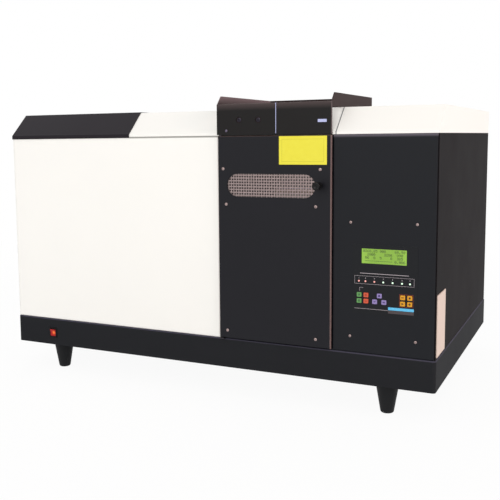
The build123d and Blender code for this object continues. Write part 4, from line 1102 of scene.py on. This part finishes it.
lamps_low, lamps_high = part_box("cathode_lamps")
ring_centre = (lamps_low + lamps_high) / 2
ring_radius = (lamps_high.z - lamps_low.z) / 2 - socket_margin
glass_start = lamps_low.x + base_length
cup_start = glass_start + cup_reach
stalk_x = (glass_start + stalk_ends[0], cup_start + stalk_ends[1])
envelopes, bases, metals, micas = (bmesh.new() for kind in range(4))
for lamp in range(lamp_count):
    angle = 2 * math.pi * lamp / lamp_count
    across, up = ring_radius * math.sin(angle), ring_radius * math.cos(angle)
    centre = (ring_centre.y + across, ring_centre.z + up)
    lamp_envelope(envelopes, glass_start, lamps_high.x, centre)
    lamp_part(bases, base_profile, lamps_low.x, centre, round_sectors)
    lamp_part(metals, cathode_cup, cup_start, centre, electrode_sectors)
    lamp_part(metals, anode_ring, cup_start, centre, electrode_sectors, closed=True)
    for side in (-1, 1):
        stalk = [Vector((x, centre[0] + side * stalk_side, centre[1])) for x in stalk_x]
        tube(metals, stalk, to_back, upward, stalk_radius, stalk_radius, stalk_sides)
    for offset in mica_offsets:
        lamp_part(micas, mica_disc, cup_start + offset, centre, mica_sectors, closed=True)
drawn = (0.05, 1, 1)
glass = clear_glass("borosilicate_glass", "f2f6f6", 0.03, 1.47, glass_marks, 1.0, 0.03 * MM, 0.2, drawn)
base_phenolic = moulded_plastic("black_phenolic_base", "141415", "1c1c1d", 0.3, 0.8 * MM, ior=1.6)
drawn_nickel = worked_metal("drawn_nickel", "a8a59f", "c4c1ba", 0.28, 0.4 * MM)
mica = moulded_plastic("split_mica", "c8b489", "d8c8a4", 0.3, 1.5 * MM, ior=1.58)
for piece in (
    fit("lamp_envelopes", envelopes, glass, "lamp_turret", smooth_angle=50),
    fit("lamp_bases", bases, base_phenolic, "lamp_turret"),
    fit("lamp_electrodes", metals, drawn_nickel, "lamp_turret"),
    fit("lamp_mica_discs", micas, mica, "lamp_turret"),
):
    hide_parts("cathode_lamps")


# Lenses: two biconvex lenses of fused silica, ground and polished, one each side of the burner.
# Fused silica passes the ultraviolet and is as clear as water.
polish_ripple = 6 * MM
silica = clear_glass("fused_silica", "f8fafa", 0.01, 1.458, polish_ripple, 0.0, 0.01 * MM, 0.1)
coat(silica, "lenses")


# Monochromator: a case and lid sand-cast in aluminium, with a black wrinkle finish.
# The wrinkle is coarse enough to see: raised ridges round small cells, which scatter stray light.
wrinkle_size = 1.8 * MM
wrinkle = start_material("black_wrinkle_paint", "1a1a1b", 0.6)
wrinkle_look = {"feature": "SMOOTH_F1", "Scale": 1 / wrinkle_size}
cells = add(wrinkle, "TexVoronoi", wrinkle_look, {"Vector": place(wrinkle)}).outputs["Distance"]
relief(wrinkle, cells, wrinkle_size / 8, 0.5)
tint(wrinkle, cells, "151516", "242425")
coat(wrinkle, "monochromator_case", "monochromator_lid")


# Grating: a ruled glass blank, aluminised, cemented on its turning table.
# The rulings are far too fine to draw; a coarser one in two faint colours stands in.
ruling_pitch = 0.5 * MM


def lay_stripes(material, pitch, across, depth, strength, dark, light, distortion=0.0):
    """Even stripes across one axis of a material, in its relief and its tone."""
    settings = {"Scale": 1 / pitch / 20, "bands_direction": across, "Distortion": distortion}
    stripes = add(material, "TexWave", settings, {"Vector": place(material)}).outputs["Fac"]
    relief(material, stripes, depth, strength)
    tint(material, stripes, dark, light)


mirror = start_material("aluminised_grating", "c9cbd0", 0.12, metallic=1.0)
lay_stripes(mirror, ruling_pitch, "X", 0.05 * MM, 0.3, "b8bcd0", "d6d4cc")
coat(mirror, "grating_table")


# Detector: a photomultiplier in a can spun from aluminium and anodised black.
# Spinning leaves fine rings round the can.
coat(worked_metal("black_anodised_can", "232326", "2f2f33", 0.38, 0.9 * MM, across="Y"), "detector")


# Gas block: three solenoid valves on a manifold drilled from aluminium bar, under the monochromator.
# It is clear anodised, with the milling marks still showing.
coat(worked_metal("clear_anodised_bar", "a2a4a8", "babcc0", 0.34, 1.2 * MM), "gas_block")


# Transformer: silicon steel laminations welded round a taped coil, dipped in varnish.
# The stacked edges show under its brown gloss, drawn at twice their thickness.
lamination = 1.0 * MM
varnish = {"Coat Weight": 0.5, "Coat Roughness": 0.2}
laminations = start_material("varnished_laminations", "3a3029", 0.38, metallic=0.4, more=varnish)
lay_stripes(laminations, lamination, "Y", 0.1 * MM, 0.5, "2b241f", "4c4036", 0.3)
coat(laminations, "transformer")
